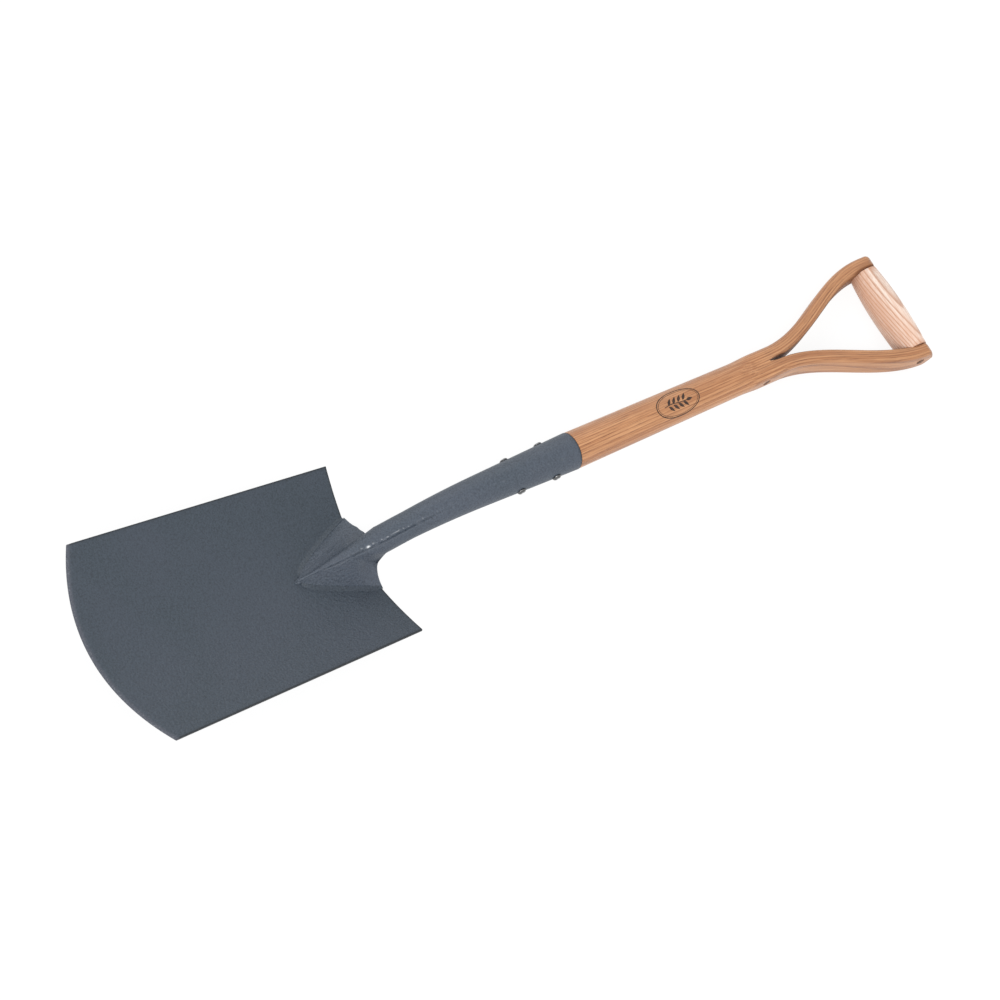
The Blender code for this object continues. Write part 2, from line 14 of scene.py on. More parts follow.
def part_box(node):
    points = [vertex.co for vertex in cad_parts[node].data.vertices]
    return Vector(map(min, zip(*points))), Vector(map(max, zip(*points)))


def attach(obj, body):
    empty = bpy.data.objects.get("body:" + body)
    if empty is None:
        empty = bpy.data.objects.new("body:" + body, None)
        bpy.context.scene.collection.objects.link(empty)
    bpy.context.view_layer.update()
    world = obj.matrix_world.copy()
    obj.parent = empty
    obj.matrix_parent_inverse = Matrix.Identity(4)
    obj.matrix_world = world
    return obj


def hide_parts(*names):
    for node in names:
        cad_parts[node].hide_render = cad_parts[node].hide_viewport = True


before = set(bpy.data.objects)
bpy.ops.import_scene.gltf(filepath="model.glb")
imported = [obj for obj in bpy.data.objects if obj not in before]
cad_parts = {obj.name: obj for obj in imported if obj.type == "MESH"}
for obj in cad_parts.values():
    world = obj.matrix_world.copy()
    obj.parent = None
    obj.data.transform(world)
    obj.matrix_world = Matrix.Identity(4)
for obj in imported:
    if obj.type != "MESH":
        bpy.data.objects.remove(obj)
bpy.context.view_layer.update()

# The CAD solids' sizes, repeated ------

GAP = 0.0003

BLADE_TOP_WIDTH = 0.1870
BLADE_EDGE_WIDTH = 0.2080
BLADE_LENGTH = 0.2910
EDGE_BOW = 0.0272
SHOULDER_DROP = 0.0056
DISH_TOP = 0.0212
DISH_EDGE = 0.0136
DISH_SHAPE = 1.3
BLADE_THICKNESS = 0.0025
GROUND_WIDTH = 0.0055
GROUND_LIP = 0.0009

LIFT = radians(10.95)
AXIS_HEIGHT = 0.0538
BEND_START = 0.1040
BEND_RADIUS = 0.3200

NECK_RADIUS = 0.0137
NECK_END = 0.0250
MOUTH = 0.2155
MOUTH_RADIUS = 0.01925
SOCKET_WALL = 0.0019
TUBE_START = 0.0120

FROG_APEX = -0.0820
FROG_END = -0.0020
LEFT_WING = 0.0430
RIGHT_WING = 0.0338
FROG_FLARE = 0.75
FROG_TIP_HEIGHT = 0.0036
FROG_TIP_REACH = 0.0026
FROG_CREST = 0.0496
CROWN_TIP = 0.0012
CROWN_GROWTH = 1.2
CROWN_TALL = 1.18
WING_SLOPE = 0.60
WING_KNEE = 0.0022
KNEE_LEAST = 0.0003
WING_EDGE = 0.0015
FROG_FLOOR = 0.0012
CAVITY_START = -0.0500
CAVITY_SIDE = 0.0070
CAVITY_CREST = 0.0025

TONGUE_END = 0.1000
TONGUE_TIP = 0.82
SHAFT_RADIUS = 0.01895
CROTCH_RADIUS = 0.0166
CROTCH = 0.4625
FLAT_START = 0.4200
FLAT_END = 0.4480
SHAFT_CORNER = 0.0083
ARM_HALF_THICKNESS = 0.0140
ARM_WIDTH = 0.0150
ARM_CORNER = 0.0045
ARM_FOOT_X = 0.0083
ARM_HEAD_X = 0.0560
ARM_LEAN = -0.0005
LEAN_RUN = 0.0500
SWEEP_START = 0.4700
LEFT_SWEEP_END = 0.6260
RIGHT_SWEEP_END = 0.6420
SLOT_HALF = 0.0020
SLOT_ROUND = 0.0090
SLOT_CORNER = 0.0008
PART_RUN = 0.0320
GRIP_AT = 0.6294

GRIP_RADIUS = 0.0181
LEFT_END_RADIUS = 0.0150
RIGHT_END_RADIUS = 0.0158

SOCKET_RIVETS = {"socket_rivet_lower": 0.1455, "socket_rivet_upper": 0.1870}
RIVET_SHANK = 0.0025
RIVET_HEAD_RADIUS = 0.0047
RIVET_HEAD_HEIGHT = 0.0029
CROTCH_RIVET_AT = 0.4538
CROTCH_SHANK = 0.0022
CROTCH_BURR = (0.0160, 0.0040)
GRIP_PIN_SHANK = 0.0025
GRIP_BURR = (0.0627, 0.0040)
BURR_THICKNESS = 0.0012
PIN_HEAD_HEIGHT = 0.0009
PIN_HEAD_OVERLAP = 0.0014

RIGHT_FILL = 1.0                    # how far the corner beside the frog's ridge is filled out
LEFT_FILL = 0.55
FILL_TURN = radians(38.0)      # how much of the ridge's side the filling covers

# Mesh steps ------

BLADE_COLUMNS = 112
BLADE_ROWS = 150
CROWN_STEPS = 30
FLARE_STEPS = 24
FLOOR_STEPS = 8
KNEE_STEPS = 9
CORNER_STEPS = 12
TURN_STEPS = 96

# Finish ------

SEAM_TURN = radians(19.0)      # the socket's seam lies this far to the right of its crest
BEAD_HEIGHT = 0.0007                # the seam's bead, and the groove on its right
BEAD_HALF = 0.0017
GROOVE_DEPTH = 0.0011
GROOVE_ASIDE = 0.0024
GROOVE_HALF = 0.0008
EDGE_ROUND = 0.0005                 # rounding of the blade's edges
MARK_AT = 0.3400                    # burnt mark: its middle along the shaft
MARK_TURN = radians(11.0)
MARK_LENGTH = 0.0520
MARK_WIDTH = 0.0280
MARK_LINES = ((0.0, 0.00050), (0.0018, 0.00022))    # inset and half width of each oval line
MARK_SECTION = ((-1.0, -0.0003), (-1.0, 0.00010), (-0.5, 0.00014), (0.0, 0.00014),
                (0.5, 0.00014), (1.0, 0.00010), (1.0, -0.0003))    # share of half width, lift
STEM = (-0.0170, 0.0100)
STEM_HALF_WIDTH = 0.00040
LEAVES_AT = (-0.0120, -0.0060, 0.0, 0.0060)
LEAF_LENGTH = 0.0082
LEAF_HALF_WIDTH = 0.0014
LEAF_TURN = radians(50.0)
GLINT_BLOB_AT = -0.0190                   # the painted glint on the seam, a bright blob: its Y
# Section of a wing's weld: how far out from the outline, and the share of the wing's edge or the drop.
RAMP_TOP = ((-0.0014, 1.15), (-0.0002, 1.00), (0.0012, 0.70), (0.0028, 0.36), (0.0046, 0.08))
RAMP_FOOT = ((0.0056, 0.0001), (0.0020, 0.0007), (-0.0014, 0.0001))
NOSE_RUN = 0.0040                   # the frog's tip ramps down over this length
BACK_WELD_HALF_LENGTH = 0.0360
BACK_WELD_RADIUS = 0.0013
WING_DRAWN_IN = 0.0042              # how far the right wing's end is drawn in beside the tube

# Camera, lights and floor ------

CAMERA_PLACE = (0.73044, -1.66505, 2.23339)    # in the design frame
CAMERA_TURN = (33.489, -26.423, 55.740)        # degrees
CAMERA_LENS = 108.0

# Place, disk diameter and power of each light, aimed at the origin.
LIGHTS = {"key": ((2.1, -1.6, 2.9), 2.6, 82.0), "fill": ((-2.6, 0.5, 2.3), 2.2, 30.0)}
WORLD_STRENGTH = 0.84
FLOOR_HALF = 15.0
FLOOR_GREY = 0.14
FLOOR_GLOW = 0.88

# Colours ------

BLADE_PAINT = (0.0345, 0.0460, 0.0605)
# Painted light: the socket's paint is the blade's paint made lighter, for the light that its wings and tube
# catch.
LIT_SOCKET_PAINT = (0.0515, 0.0650, 0.0850)
GROUND_STEEL = (0.100, 0.102, 0.128)
SPARKLE = (0.34, 0.35, 0.38)
# bare weld, and the painted glint on the seam
BARE_WELD_AND_GLINT = (0.72, 0.74, 0.76)
RIVET_STEEL = (0.86, 0.87, 0.88)
RUSTY_STEEL = (0.20, 0.11, 0.075)
CHAR_DARK = (0.018, 0.010, 0.008)
CHAR_LIGHT = (0.085, 0.040, 0.022)

# "heart" and "tilt" place the tree's middle; "ring" is a year's growth; the last colour is painted shade in
# recesses and joints.
SHAFT_ASH = {
    "roughness": 0.45, "wander": 0.0030, "heart": (0.060, 0.020, 0.0), "tilt": (0.012, 0.020, 0.0),
    "ring": 0.0023, "contrast": 0.50, "pores": 0.80, "cloud": 0.40,
    "light": (0.570, 0.290, 0.136), "dark": (0.372, 0.156, 0.062), "line": (0.255, 0.088, 0.031),
    "pore": (0.105, 0.037, 0.017), "deep": (0.365, 0.148, 0.060), "painted_shade": (0.110, 0.045, 0.030),
}
GRIP_ASH = {
    "roughness": 0.45, "wander": 0.0105, "heart": (0.012, 0.022, 0.0), "tilt": (0.12, 0.09, 0.0),
    "ring": 0.0026, "contrast": 0.85, "pores": 0.60, "cloud": 0.50,
    "light": (0.87, 0.79, 0.71), "dark": (0.74, 0.56, 0.46), "line": (0.46, 0.25, 0.16),
    "pore": (0.36, 0.18, 0.11), "deep": (0.72, 0.40, 0.26), "painted_shade": (0.50, 0.22, 0.11),
}


# Node trees ------

def add_node(tree, kind, inputs=None, **settings):
    """A shader node; each input is a value or another node's output socket."""
    made = tree.nodes.new(kind)
    for key, value in settings.items():
        setattr(made, key, value)
    for key, value in (inputs or {}).items():
        if isinstance(value, bpy.types.NodeSocket):
            tree.links.new(value, made.inputs[key])
        else:
            made.inputs[key].default_value = value
    return made


def new_material(name, roughness, metallic=0.0):
    made = bpy.data.materials.new(name)
    made.use_nodes = True
    shader = made.node_tree.nodes["Principled BSDF"]
    shader.inputs["Roughness"].default_value = roughness
    shader.inputs["Metallic"].default_value = metallic
    return made, made.node_tree, shader


def attribute(tree, name, output="Fac"):
    return add_node(tree, "ShaderNodeAttribute", attribute_name=name).outputs[output]


def object_place(tree):
    return add_node(tree, "ShaderNodeTexCoord").outputs["Object"]


def noise_of(tree, vector, scale, detail=2.0, roughness=0.5):
    inputs = {"Vector": vector, "Scale": scale, "Detail": detail, "Roughness": roughness}
    return add_node(tree, "ShaderNodeTexNoise", inputs).outputs["Fac"]


def calculate(tree, operation, first, second=0.0):
    made = add_node(tree, "ShaderNodeMath", {0: first, 1: second}, operation=operation)
    return made.outputs[0]


def span(tree, value, low, high, out_low=0.0, out_high=1.0):
    """Map low..high smoothly to out_low..out_high, clamped."""
    inputs = {"Value": value, "From Min": low, "From Max": high, "To Min": out_low, "To Max": out_high}
    made = add_node(tree, "ShaderNodeMapRange", inputs, interpolation_type="SMOOTHSTEP")
    return made.outputs["Result"]


def blend_colour(tree, factor, first, second):
    made = add_node(tree, "ShaderNodeMix", data_type="RGBA")
    for socket, value in ((0, factor), (6, first), (7, second)):
        if isinstance(value, bpy.types.NodeSocket):
            tree.links.new(value, made.inputs[socket])
        elif socket == 0:
            made.inputs[socket].default_value = value
        else:
            made.inputs[socket].default_value = (*value, 1.0)
    return made.outputs[2]


def scaled(colour, *factors):
    """A colour times one factor, or times one for each channel."""
    return tuple(c * k for c, k in zip(colour, factors * (3 // len(factors))))


def weighed(tree, value, weight):
    return calculate(tree, "MULTIPLY", value, weight)


def stretched(tree, vector, scale):
    return add_node(tree, "ShaderNodeVectorMath", {0: vector, 1: scale}, operation="MULTIPLY").outputs[0]


def bump(tree, height, distance, strength=1.0, normal=None):
    inputs = {"Height": height, "Distance": distance, "Strength": strength}
    if normal is not None:
        inputs["Normal"] = normal
    return add_node(tree, "ShaderNodeBump", inputs).outputs["Normal"]


# Materials ------

def hammered_paint(name, base):
    """Blue-grey satin paint over steel, with a fine orange-peel texture."""
    made, tree, shader = new_material(name, 0.50)
    shader.inputs["Specular IOR Level"].default_value = 0.42
    where = object_place(tree)
    drift = noise_of(tree, where, 11.0, 3.0)
    fine = noise_of(tree, where, 620.0, 2.0, 0.6)
    colour = scaled(base, 0.93, 0.95, 0.94)
    colour = blend_colour(tree, span(tree, drift, 0.3, 0.7), colour, scaled(base, 1.12, 1.06, 1.08))
    speck = span(tree, fine, 0.38, 0.66)
    colour = blend_colour(tree, weighed(tree, speck, 0.50), colour, scaled(base, 1.60))
    pit = span(tree, fine, 0.30, 0.44, 0.35, 0.0)
    colour = blend_colour(tree, pit, colour, scaled(base, 0.5))
    # painted shade: a dark line along the blade's straight edges and a dark band round the socket's mouth
    edge = attribute(tree, "edge")
    colour = blend_colour(tree, weighed(tree, edge, 0.90), colour, scaled(base, 0.22))
    ground = attribute(tree, "ground")
    grit = noise_of(tree, where, 700.0, 3.0, 0.7)
    sparkle = weighed(tree, span(tree, grit, 0.54, 0.68), ground)
    colour = blend_colour(tree, weighed(tree, ground, 0.45), colour, GROUND_STEEL)
    colour = blend_colour(tree, weighed(tree, sparkle, 0.32), colour, SPARKLE)
    # specks of bare weld, partly painted glints, and one painted glint as a bright blob on the seam
    colour = blend_colour(tree, attribute(tree, "speck"), colour, BARE_WELD_AND_GLINT)
    tree.links.new(colour, shader.inputs["Base Color"])
    peel = add_node(tree, "ShaderNodeTexVoronoi", {"Vector": where, "Scale": 380.0, "Smoothness": 0.7},
                    feature="SMOOTH_F1").outputs["Distance"]
    relief = calculate(tree, "ADD", peel, weighed(tree, fine, 0.8))
    normal = bump(tree, relief, 0.0006, 0.75)
    normal = bump(tree, weighed(tree, grit, ground), 0.0010, 0.7, normal)
    tree.links.new(normal, shader.inputs["Normal"])
    return made


def ash_wood(name, look):
    """Ash with open, ring-porous grain. The attribute "grain" runs along the fibres in its Z."""
    made, tree, shader = new_material(name, look["roughness"])
    shader.inputs["Coat Roughness"].default_value = 0.30
    shader.inputs["Sheen Roughness"].default_value = 0.35
    grain = attribute(tree, "grain", "Vector")
    wander = add_node(tree, "ShaderNodeTexNoise", {
        "Vector": stretched(tree, grain, (18.0, 18.0, 3.0)), "Scale": 1.0, "Detail": 2.0}).outputs["Color"]
    offset = stretched(tree, wander, (look["wander"],) * 3)
    bent = add_node(tree, "ShaderNodeVectorMath", {0: grain, 1: offset}, operation="ADD").outputs[0]
    heart = add_node(tree, "ShaderNodeMapping", {
        "Vector": bent, "Location": look["heart"], "Rotation": look["tilt"]}).outputs["Vector"]
    flat = stretched(tree, heart, (1.0, 1.0, 0.0))
    radius = add_node(tree, "ShaderNodeVectorMath", {0: flat}, operation="LENGTH").outputs["Value"]
    ring = calculate(tree, "FRACT", calculate(tree, "DIVIDE", radius, look["ring"]))
    early = span(tree, ring, 0.0, 0.42, 1.0, 0.0)
    late = span(tree, ring, 0.86, 1.0)
    band = calculate(tree, "MAXIMUM", early, late)
    pore = noise_of(tree, stretched(tree, grain, (2600.0, 2600.0, 60.0)), 1.0, 2.0, 0.6)
    pores = weighed(tree, span(tree, pore, 0.50, 0.62), span(tree, band, 0.0, 1.0, 0.30, 1.0))
    streak = noise_of(tree, stretched(tree, grain, (640.0, 640.0, 9.0)), 1.0, 4.0, 0.65)
    cloud = noise_of(tree, stretched(tree, grain, (40.0, 40.0, 9.0)), 1.0, 3.0)
    colour = blend_colour(tree, span(tree, streak, 0.38, 0.60), look["dark"], look["light"])
    colour = blend_colour(tree, weighed(tree, band, look["contrast"]), colour, look["line"])
    colour = blend_colour(tree, weighed(tree, pores, look["pores"]), colour, look["pore"])
    tone = weighed(tree, span(tree, cloud, 0.3, 0.7), look["cloud"])
    colour = blend_colour(tree, tone, colour, look["deep"])
    # painted shade in the slot, at the arms' joints with the grip and on the grip's side that faces the
    # opening; the shine is dimmed there too
    painted_shade = attribute(tree, "painted_shade")
    colour = blend_colour(tree, painted_shade, colour, look["painted_shade"])
    fleck = span(tree, noise_of(tree, stretched(tree, grain, (420.0, 420.0, 190.0)), 1.0, 1.0), 0.80, 0.83)
    colour = blend_colour(tree, fleck, colour, look["pore"])
    tree.links.new(colour, shader.inputs["Base Color"])
    tree.links.new(span(tree, painted_shade, 0.1, 0.6, 0.5, 0.05), shader.inputs["Specular IOR Level"])
    tree.links.new(span(tree, painted_shade, 0.1, 0.6, 0.13, 0.0), shader.inputs["Coat Weight"])
    tree.links.new(span(tree, painted_shade, 0.1, 0.6, 0.14, 0.0), shader.inputs["Sheen Weight"])
    relief = calculate(tree, "SUBTRACT", weighed(tree, streak, 0.4), pores)
    tree.links.new(bump(tree, relief, 0.00012, 0.5), shader.inputs["Normal"])
    return made


def struck_steel(name, colour, roughness, metallic=1.0):
    """Steel struck over with a hammer: small facets, grime in the hollows, and painted dark reflections
    where the mesh's attribute asks for them.
    """
    made, tree, shader = new_material(name, roughness, metallic)
    where = object_place(tree)
    dents = add_node(tree, "ShaderNodeTexVoronoi", {"Vector": where, "Scale": 520.0}).outputs["Distance"]
    fine = noise_of(tree, where, 1400.0, 3.0)
    # grime from noise, and the painted dark reflections and rims on the rivet heads
    grime_and_reflection = calculate(tree, "MAXIMUM", span(tree, fine, 0.45, 0.75, 0.0, 0.6), attribute(tree, "grime_and_reflection"))
    tree.links.new(blend_colour(tree, grime_and_reflection, colour, scaled(colour, 0.16)), shader.inputs["Base Color"])
    tree.links.new(bump(tree, dents, 0.0003, 0.7), shader.inputs["Normal"])
    return made


def burnt_wood(name):
    """Scorched wood, charred unevenly."""
    made, tree, shader = new_material(name, 0.75)
    where = object_place(tree)
    char = noise_of(tree, where, 900.0, 3.0)
    colour = blend_colour(tree, span(tree, char, 0.35, 0.75), CHAR_DARK, CHAR_LIGHT)
    tree.links.new(colour, shader.inputs["Base Color"])
    tree.links.new(bump(tree, char, 0.0001, 0.6), shader.inputs["Normal"])
    return made


# Mesh helpers ------

def bridge(bm, first, second):
    count = len(first)
    for i in range(count):
        j = (i + 1) % count
        bm.faces.new((first[i], first[j], second[j], second[i]))


def skin(bm, loops):
    for first, second in zip(loops, loops[1:]):
        bridge(bm, first, second)


def loft(rings, bm=None):
    """A closed solid through rings of points, capped at both ends, in a new mesh or the given one."""
    bm = bm or bmesh.new()
    loops = [[bm.verts.new(point) for point in ring] for ring in rings]
    skin(bm, loops)
    bm.faces.new(loops[0])
    bm.faces.new(loops[-1])
    return bm


def full_turn(count):
    return [2.0 * pi * i / count for i in range(count)]


def turned(profile, steps=TURN_STEPS, shape=None):
    """A solid turned about X from (x, radius) pairs; shape may change a radius by x and angle."""
    rings = []
    for x, radius in profile:
        ring = []
        for a in full_turn(steps):
            r = radius * (shape(x, a) if shape else 1.0)
            ring.append((x, r * cos(a), r * sin(a)))
        rings.append(ring)
    return loft(rings)


def spaced(start, stop, count):
    return [start + (stop - start) * i / (count - 1) for i in range(count)]


def smooth_step(value, low, high):
    t = min(1.0, max(0.0, (value - low) / (high - low)))
    return t * t * (3.0 - 2.0 * t)


def ripple(*point):
    return noise.noise(Vector(point))


def finish_object(name, bm, sharp_angle=35.0):
    bmesh.ops.recalc_face_normals(bm, faces=bm.faces)
    mesh = bpy.data.meshes.new(name)
    bm.to_mesh(mesh)
    bm.free()
    mesh.shade_smooth()
    mesh.set_sharp_from_angle(angle=radians(sharp_angle))
    made = bpy.data.objects.new(name, mesh)
    bpy.context.collection.objects.link(made)
    return made


def apply_modifiers(piece):
    """Replace the piece's mesh by what its modifiers make of it."""
    graph = bpy.context.evaluated_depsgraph_get()
    mesh = bpy.data.meshes.new_from_object(piece.evaluated_get(graph))
    piece.modifiers.clear()
    piece.data = mesh
    mesh.name = piece.name


def paint_attribute(piece, name, value_of):
    """Store a float or vector for each vertex, worked out from its place in the design frame."""
    mesh = piece.data
    values = [value_of(vertex.co) for vertex in mesh.vertices]
    if isinstance(values[0], float):
        layer = mesh.attributes.new(name, "FLOAT", "POINT")
        layer.data.foreach_set("value", values)
    else:
        layer = mesh.attributes.new(name, "FLOAT_VECTOR", "POINT")
        layer.data.foreach_set("vector", [part for value in values for part in value])


def paint_shade_and_marks(piece, **value_of):
    """The three attributes that painted steel reads: painted shade on edges, the ground strip, and weld
    specks with a painted glint; those left out are 0.
    """
    for name in ("edge", "ground", "speck"):
        paint_attribute(piece, name, value_of.get(name, lambda point: 0.0))


def fit_over(piece, material, slot, *nodes):
    """Lay the piece over the CAD nodes that it stands for, with its place in its mesh."""
    piece.data.materials.clear()
    piece.data.materials.append(material)
    piece.data.transform(REST @ piece.matrix_world)
    piece.matrix_world = Matrix.Identity(4)
    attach(piece, "root")
    if nodes:
        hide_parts(*nodes)


# Axis of the socket and the shaft ------

def axis_frame(along):
    """Point, forward and outward directions at a distance along the shaft's line."""
    forward = Vector((0.0, cos(LIFT), sin(LIFT)))
    outward = Vector((0.0, -sin(LIFT), cos(LIFT)))
    base = Vector((0.0, 0.0, AXIS_HEIGHT))
    if along >= BEND_START:
        return base + forward * along, forward, outward
    turn = (BEND_START - along) / BEND_RADIUS
    centre = base + forward * BEND_START - outward * BEND_RADIUS
    radial = outward * cos(turn) - forward * sin(turn)
    ahead = forward * cos(turn) + outward * sin(turn)
    return centre + radial * BEND_RADIUS, ahead, radial


def shaft_place(point):
    """Where a point is from the design origin: along the shaft's line, and out of its front."""
    _, forward, outward = axis_frame(GRIP_AT)
    from_base = Vector((0.0, point.y, point.z - AXIS_HEIGHT))
    return from_base.dot(forward), from_base.dot(outward)


def bend_height(y):
    """Height and slope of the bent axis where it crosses the plane at y."""
    _, forward, outward = axis_frame(BEND_START)
    centre = Vector((0.0, 0.0, AXIS_HEIGHT)) + forward * BEND_START - outward * BEND_RADIUS
    reach = sqrt(BEND_RADIUS ** 2 - (y - centre.y) ** 2)
    return centre.z + reach, (centre.y - y) / reach


def place(along, x, out):
    point, _, outward = axis_frame(along)
    return Vector((x, point.y, point.z)) + Vector((0.0, outward.y, outward.z)) * out


def rest_matrix():
    """Where the CAD frame has laid the spade, read from its grip and its lower socket rivet."""
    centres = []
    for node in ("grip", "socket_rivet_lower"):
        low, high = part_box(node)
        centres.append(0.5 * (low + high))
    line = centres[0] - centres[1]
    turn = atan2(line.z, line.y) - LIFT
    grip, _, _ = axis_frame(GRIP_AT)
    origin = Vector((centres[1].x, centres[0].y, centres[0].z))
    return Matrix.Translation(origin) @ Matrix.Rotation(turn, 4, "X") @ Matrix.Translation(-grip)


REST = rest_matrix()


# Blade ------

def blade_width(y):
    return BLADE_TOP_WIDTH - (BLADE_EDGE_WIDTH - BLADE_TOP_WIDTH) * y / BLADE_LENGTH


def blade_front(x, y):
    across = abs(x) / (0.5 * blade_width(y))
    depth = DISH_TOP - (DISH_EDGE - DISH_TOP) * y / BLADE_LENGTH
    rise = hypot(across, DISH_SHAPE) - DISH_SHAPE
    return depth * rise / (hypot(1.0, DISH_SHAPE) - DISH_SHAPE)


def blade_normal(x, y):
    step = 0.0005
    slope_x = (blade_front(x + step, y) - blade_front(x - step, y)) / (2.0 * step)
    slope_y = (blade_front(x, y + step) - blade_front(x, y - step)) / (2.0 * step)
    return Vector((-slope_x, -slope_y, 1.0)).normalized()


def shoulder_line(across):
    return -SHOULDER_DROP * (1.0 - abs(across))


def cutting_line(across):
    return -BLADE_LENGTH - EDGE_BOW * (1.0 - across * across)


def blade_edge_shade(point):
    """Painted shade: 1 on the blade's straight edges, falling to 0 within about a millimetre."""
    across = point.x / (0.5 * blade_width(point.y))
    side = (1.0 - abs(across)) * 0.5 * blade_width(point.y)
    top = shoulder_line(across) - point.y
    return exp(-(max(0.0, min(side, top)) / 0.0012) ** 2)


def groundness(point):
    """1 on the ground strip behind the cutting edge, 0 elsewhere and on the back."""
    across = point.x / (0.5 * blade_width(point.y))
    behind = point.y - cutting_line(across)
    strip = 1.0 - smooth_step(behind, 0.35 * GROUND_WIDTH, 0.75 * GROUND_WIDTH)
    depth = blade_front(point.x, point.y) - point.z
    return strip * (1.0 if depth < BLADE_THICKNESS - 0.0001 else 0.0)


def build_blade(material):
    bm = bmesh.new()
    front, back = [], []
    for i in range(BLADE_COLUMNS + 1):
        across = -1.0 + 2.0 * i / BLADE_COLUMNS
        top, bottom = shoulder_line(across), cutting_line(across)
        stations = spaced(top, bottom + GROUND_WIDTH, BLADE_ROWS)
        stations += [bottom + GROUND_WIDTH * share for share in (0.8, 0.55, 0.3, 0.0)]
        front_column, back_column = [], []
        for y in stations:
            x = across * 0.5 * blade_width(y)
            face = Vector((x, y, blade_front(x, y)))
            normal = blade_normal(x, y)
            behind = min(1.0, (y - bottom) / GROUND_WIDTH)
            ground = (BLADE_THICKNESS - GROUND_LIP) * (1.0 - behind)
            ground += 0.00025 * (1.0 - behind) * ripple(x * 260.0, y * 60.0, 3.0)
            front_column.append(bm.verts.new(face - normal * max(0.0, ground)))
            back_column.append(bm.verts.new(face - normal * BLADE_THICKNESS))
        front.append(front_column)
        back.append(back_column)
    rows = len(front[0])
    for i in range(BLADE_COLUMNS):
        for j in range(rows - 1):
            for grid in (front, back):
                bm.faces.new((grid[i][j], grid[i + 1][j], grid[i + 1][j + 1], grid[i][j + 1]))
    rims = []
    for grid in (front, back):
        rim = [column[0] for column in grid] + grid[-1][1:]
        rim += [column[-1] for column in reversed(grid[:-1])] + list(reversed(grid[0][1:-1]))
        rims.append(rim)
    bridge(bm, rims[0], rims[1])
    piece = finish_object("blade_plate", bm)
    rounding = piece.modifiers.new("rounded_edges", "BEVEL")
    rounding.width = EDGE_ROUND
    rounding.segments = 3
    rounding.limit_method = "ANGLE"
    rounding.angle_limit = radians(50.0)
    apply_modifiers(piece)
    piece.data.shade_smooth()
    piece.data.set_sharp_from_angle(angle=radians(35.0))
    paint_shade_and_marks(piece, edge=blade_edge_shade, ground=groundness)
    fit_over(piece, material, "painted_steel", "blade")


# Socket and frog ------

def socket_radius(along):
    taper = (MOUTH_RADIUS - NECK_RADIUS) / (MOUTH - NECK_END)
    return NECK_RADIUS + taper * max(0.0, along - NECK_END)


def ring_angles():
    """Angles from the crest for half a socket ring, from the crest to the underside."""
    crown = spaced(0.0, 0.5 * pi, CROWN_STEPS + 1)
    rest = FLARE_STEPS + FLOOR_STEPS
    return crown + [0.5 * pi * (1.0 + i / rest) for i in range(1, rest + 1)]


def seam_relief(arc, y):
    """Height of the welded seam at a sideways distance from it: a lumpy bead beside a sunk line."""
    strength = 1.0 - 0.85 * smooth_step(y, 0.010, 0.100)
    strength *= 1.0 - smooth_step(y, 0.130, 0.160)
    lump = 0.7 + 0.9 * ripple(y * 170.0, 1.7, arc * 300.0) + 0.5 * ripple(y * 520.0, arc * 700.0, 4.0)
    bead = BEAD_HEIGHT * lump * exp(-(arc / BEAD_HALF) ** 2)
    sunk = GROOVE_DEPTH * (0.5 + lump) * exp(-((arc - GROOVE_ASIDE) / GROOVE_HALF) ** 2)
    return strength * (bead - sunk)


def raised(half_points, side, relief_at):
    points = []
    for (x, y, z), (dx, dy, dz), a in half_points:
        rise = relief_at(side * a)
        points.append((side * (x + dx * rise), y + dy * rise, z + dz * rise))
    return points


def ring_of(right, left, relief_at):
    """A full ring from two halves of (point, direction, angle), raised by the seam's relief."""
    return raised(right, 1.0, relief_at) + list(reversed(raised(left, -1.0, relief_at)[1:-1]))


def relief_for(radius, y, seamed):
    if not seamed:
        return lambda a: 0.0
    return lambda a: seam_relief((a - SEAM_TURN) * radius, y)


def tube_ring(along, radius, seamed=True):
    point, _, outward = axis_frame(along)
    half = []
    for a in ring_angles():
        direction = (sin(a), outward.y * cos(a), outward.z * cos(a))
        half.append((tuple(place(along, radius * sin(a), radius * cos(a))), direction, a))
    return ring_of(half, half, relief_for(radius, point.y, seamed))


def neck_ring(y, radius, seamed=True):
    height, slope = bend_height(y)
    upright = radius * hypot(1.0, slope)
    half = []
    for a in ring_angles():
        point = (radius * sin(a), y, height + upright * cos(a))
        half.append((point, (sin(a), 0.0, cos(a)), a))
    return ring_of(half, half, relief_for(radius, y, seamed))


def frog_growth(y):
    """0 at the frog's apex and 1 at its upper end."""
    return (y - FROG_APEX) / (FROG_END - FROG_APEX)


def crown_radius(grown):
    return max(CROWN_TIP, NECK_RADIUS * grown ** CROWN_GROWTH)


def crest_height(grown):
    return FROG_TIP_HEIGHT + (FROG_CREST - FROG_TIP_HEIGHT) * grown


def wing_reach(grown, side):
    return max(FROG_TIP_REACH, (RIGHT_WING if side > 0.0 else LEFT_WING) * grown ** FROG_FLARE)


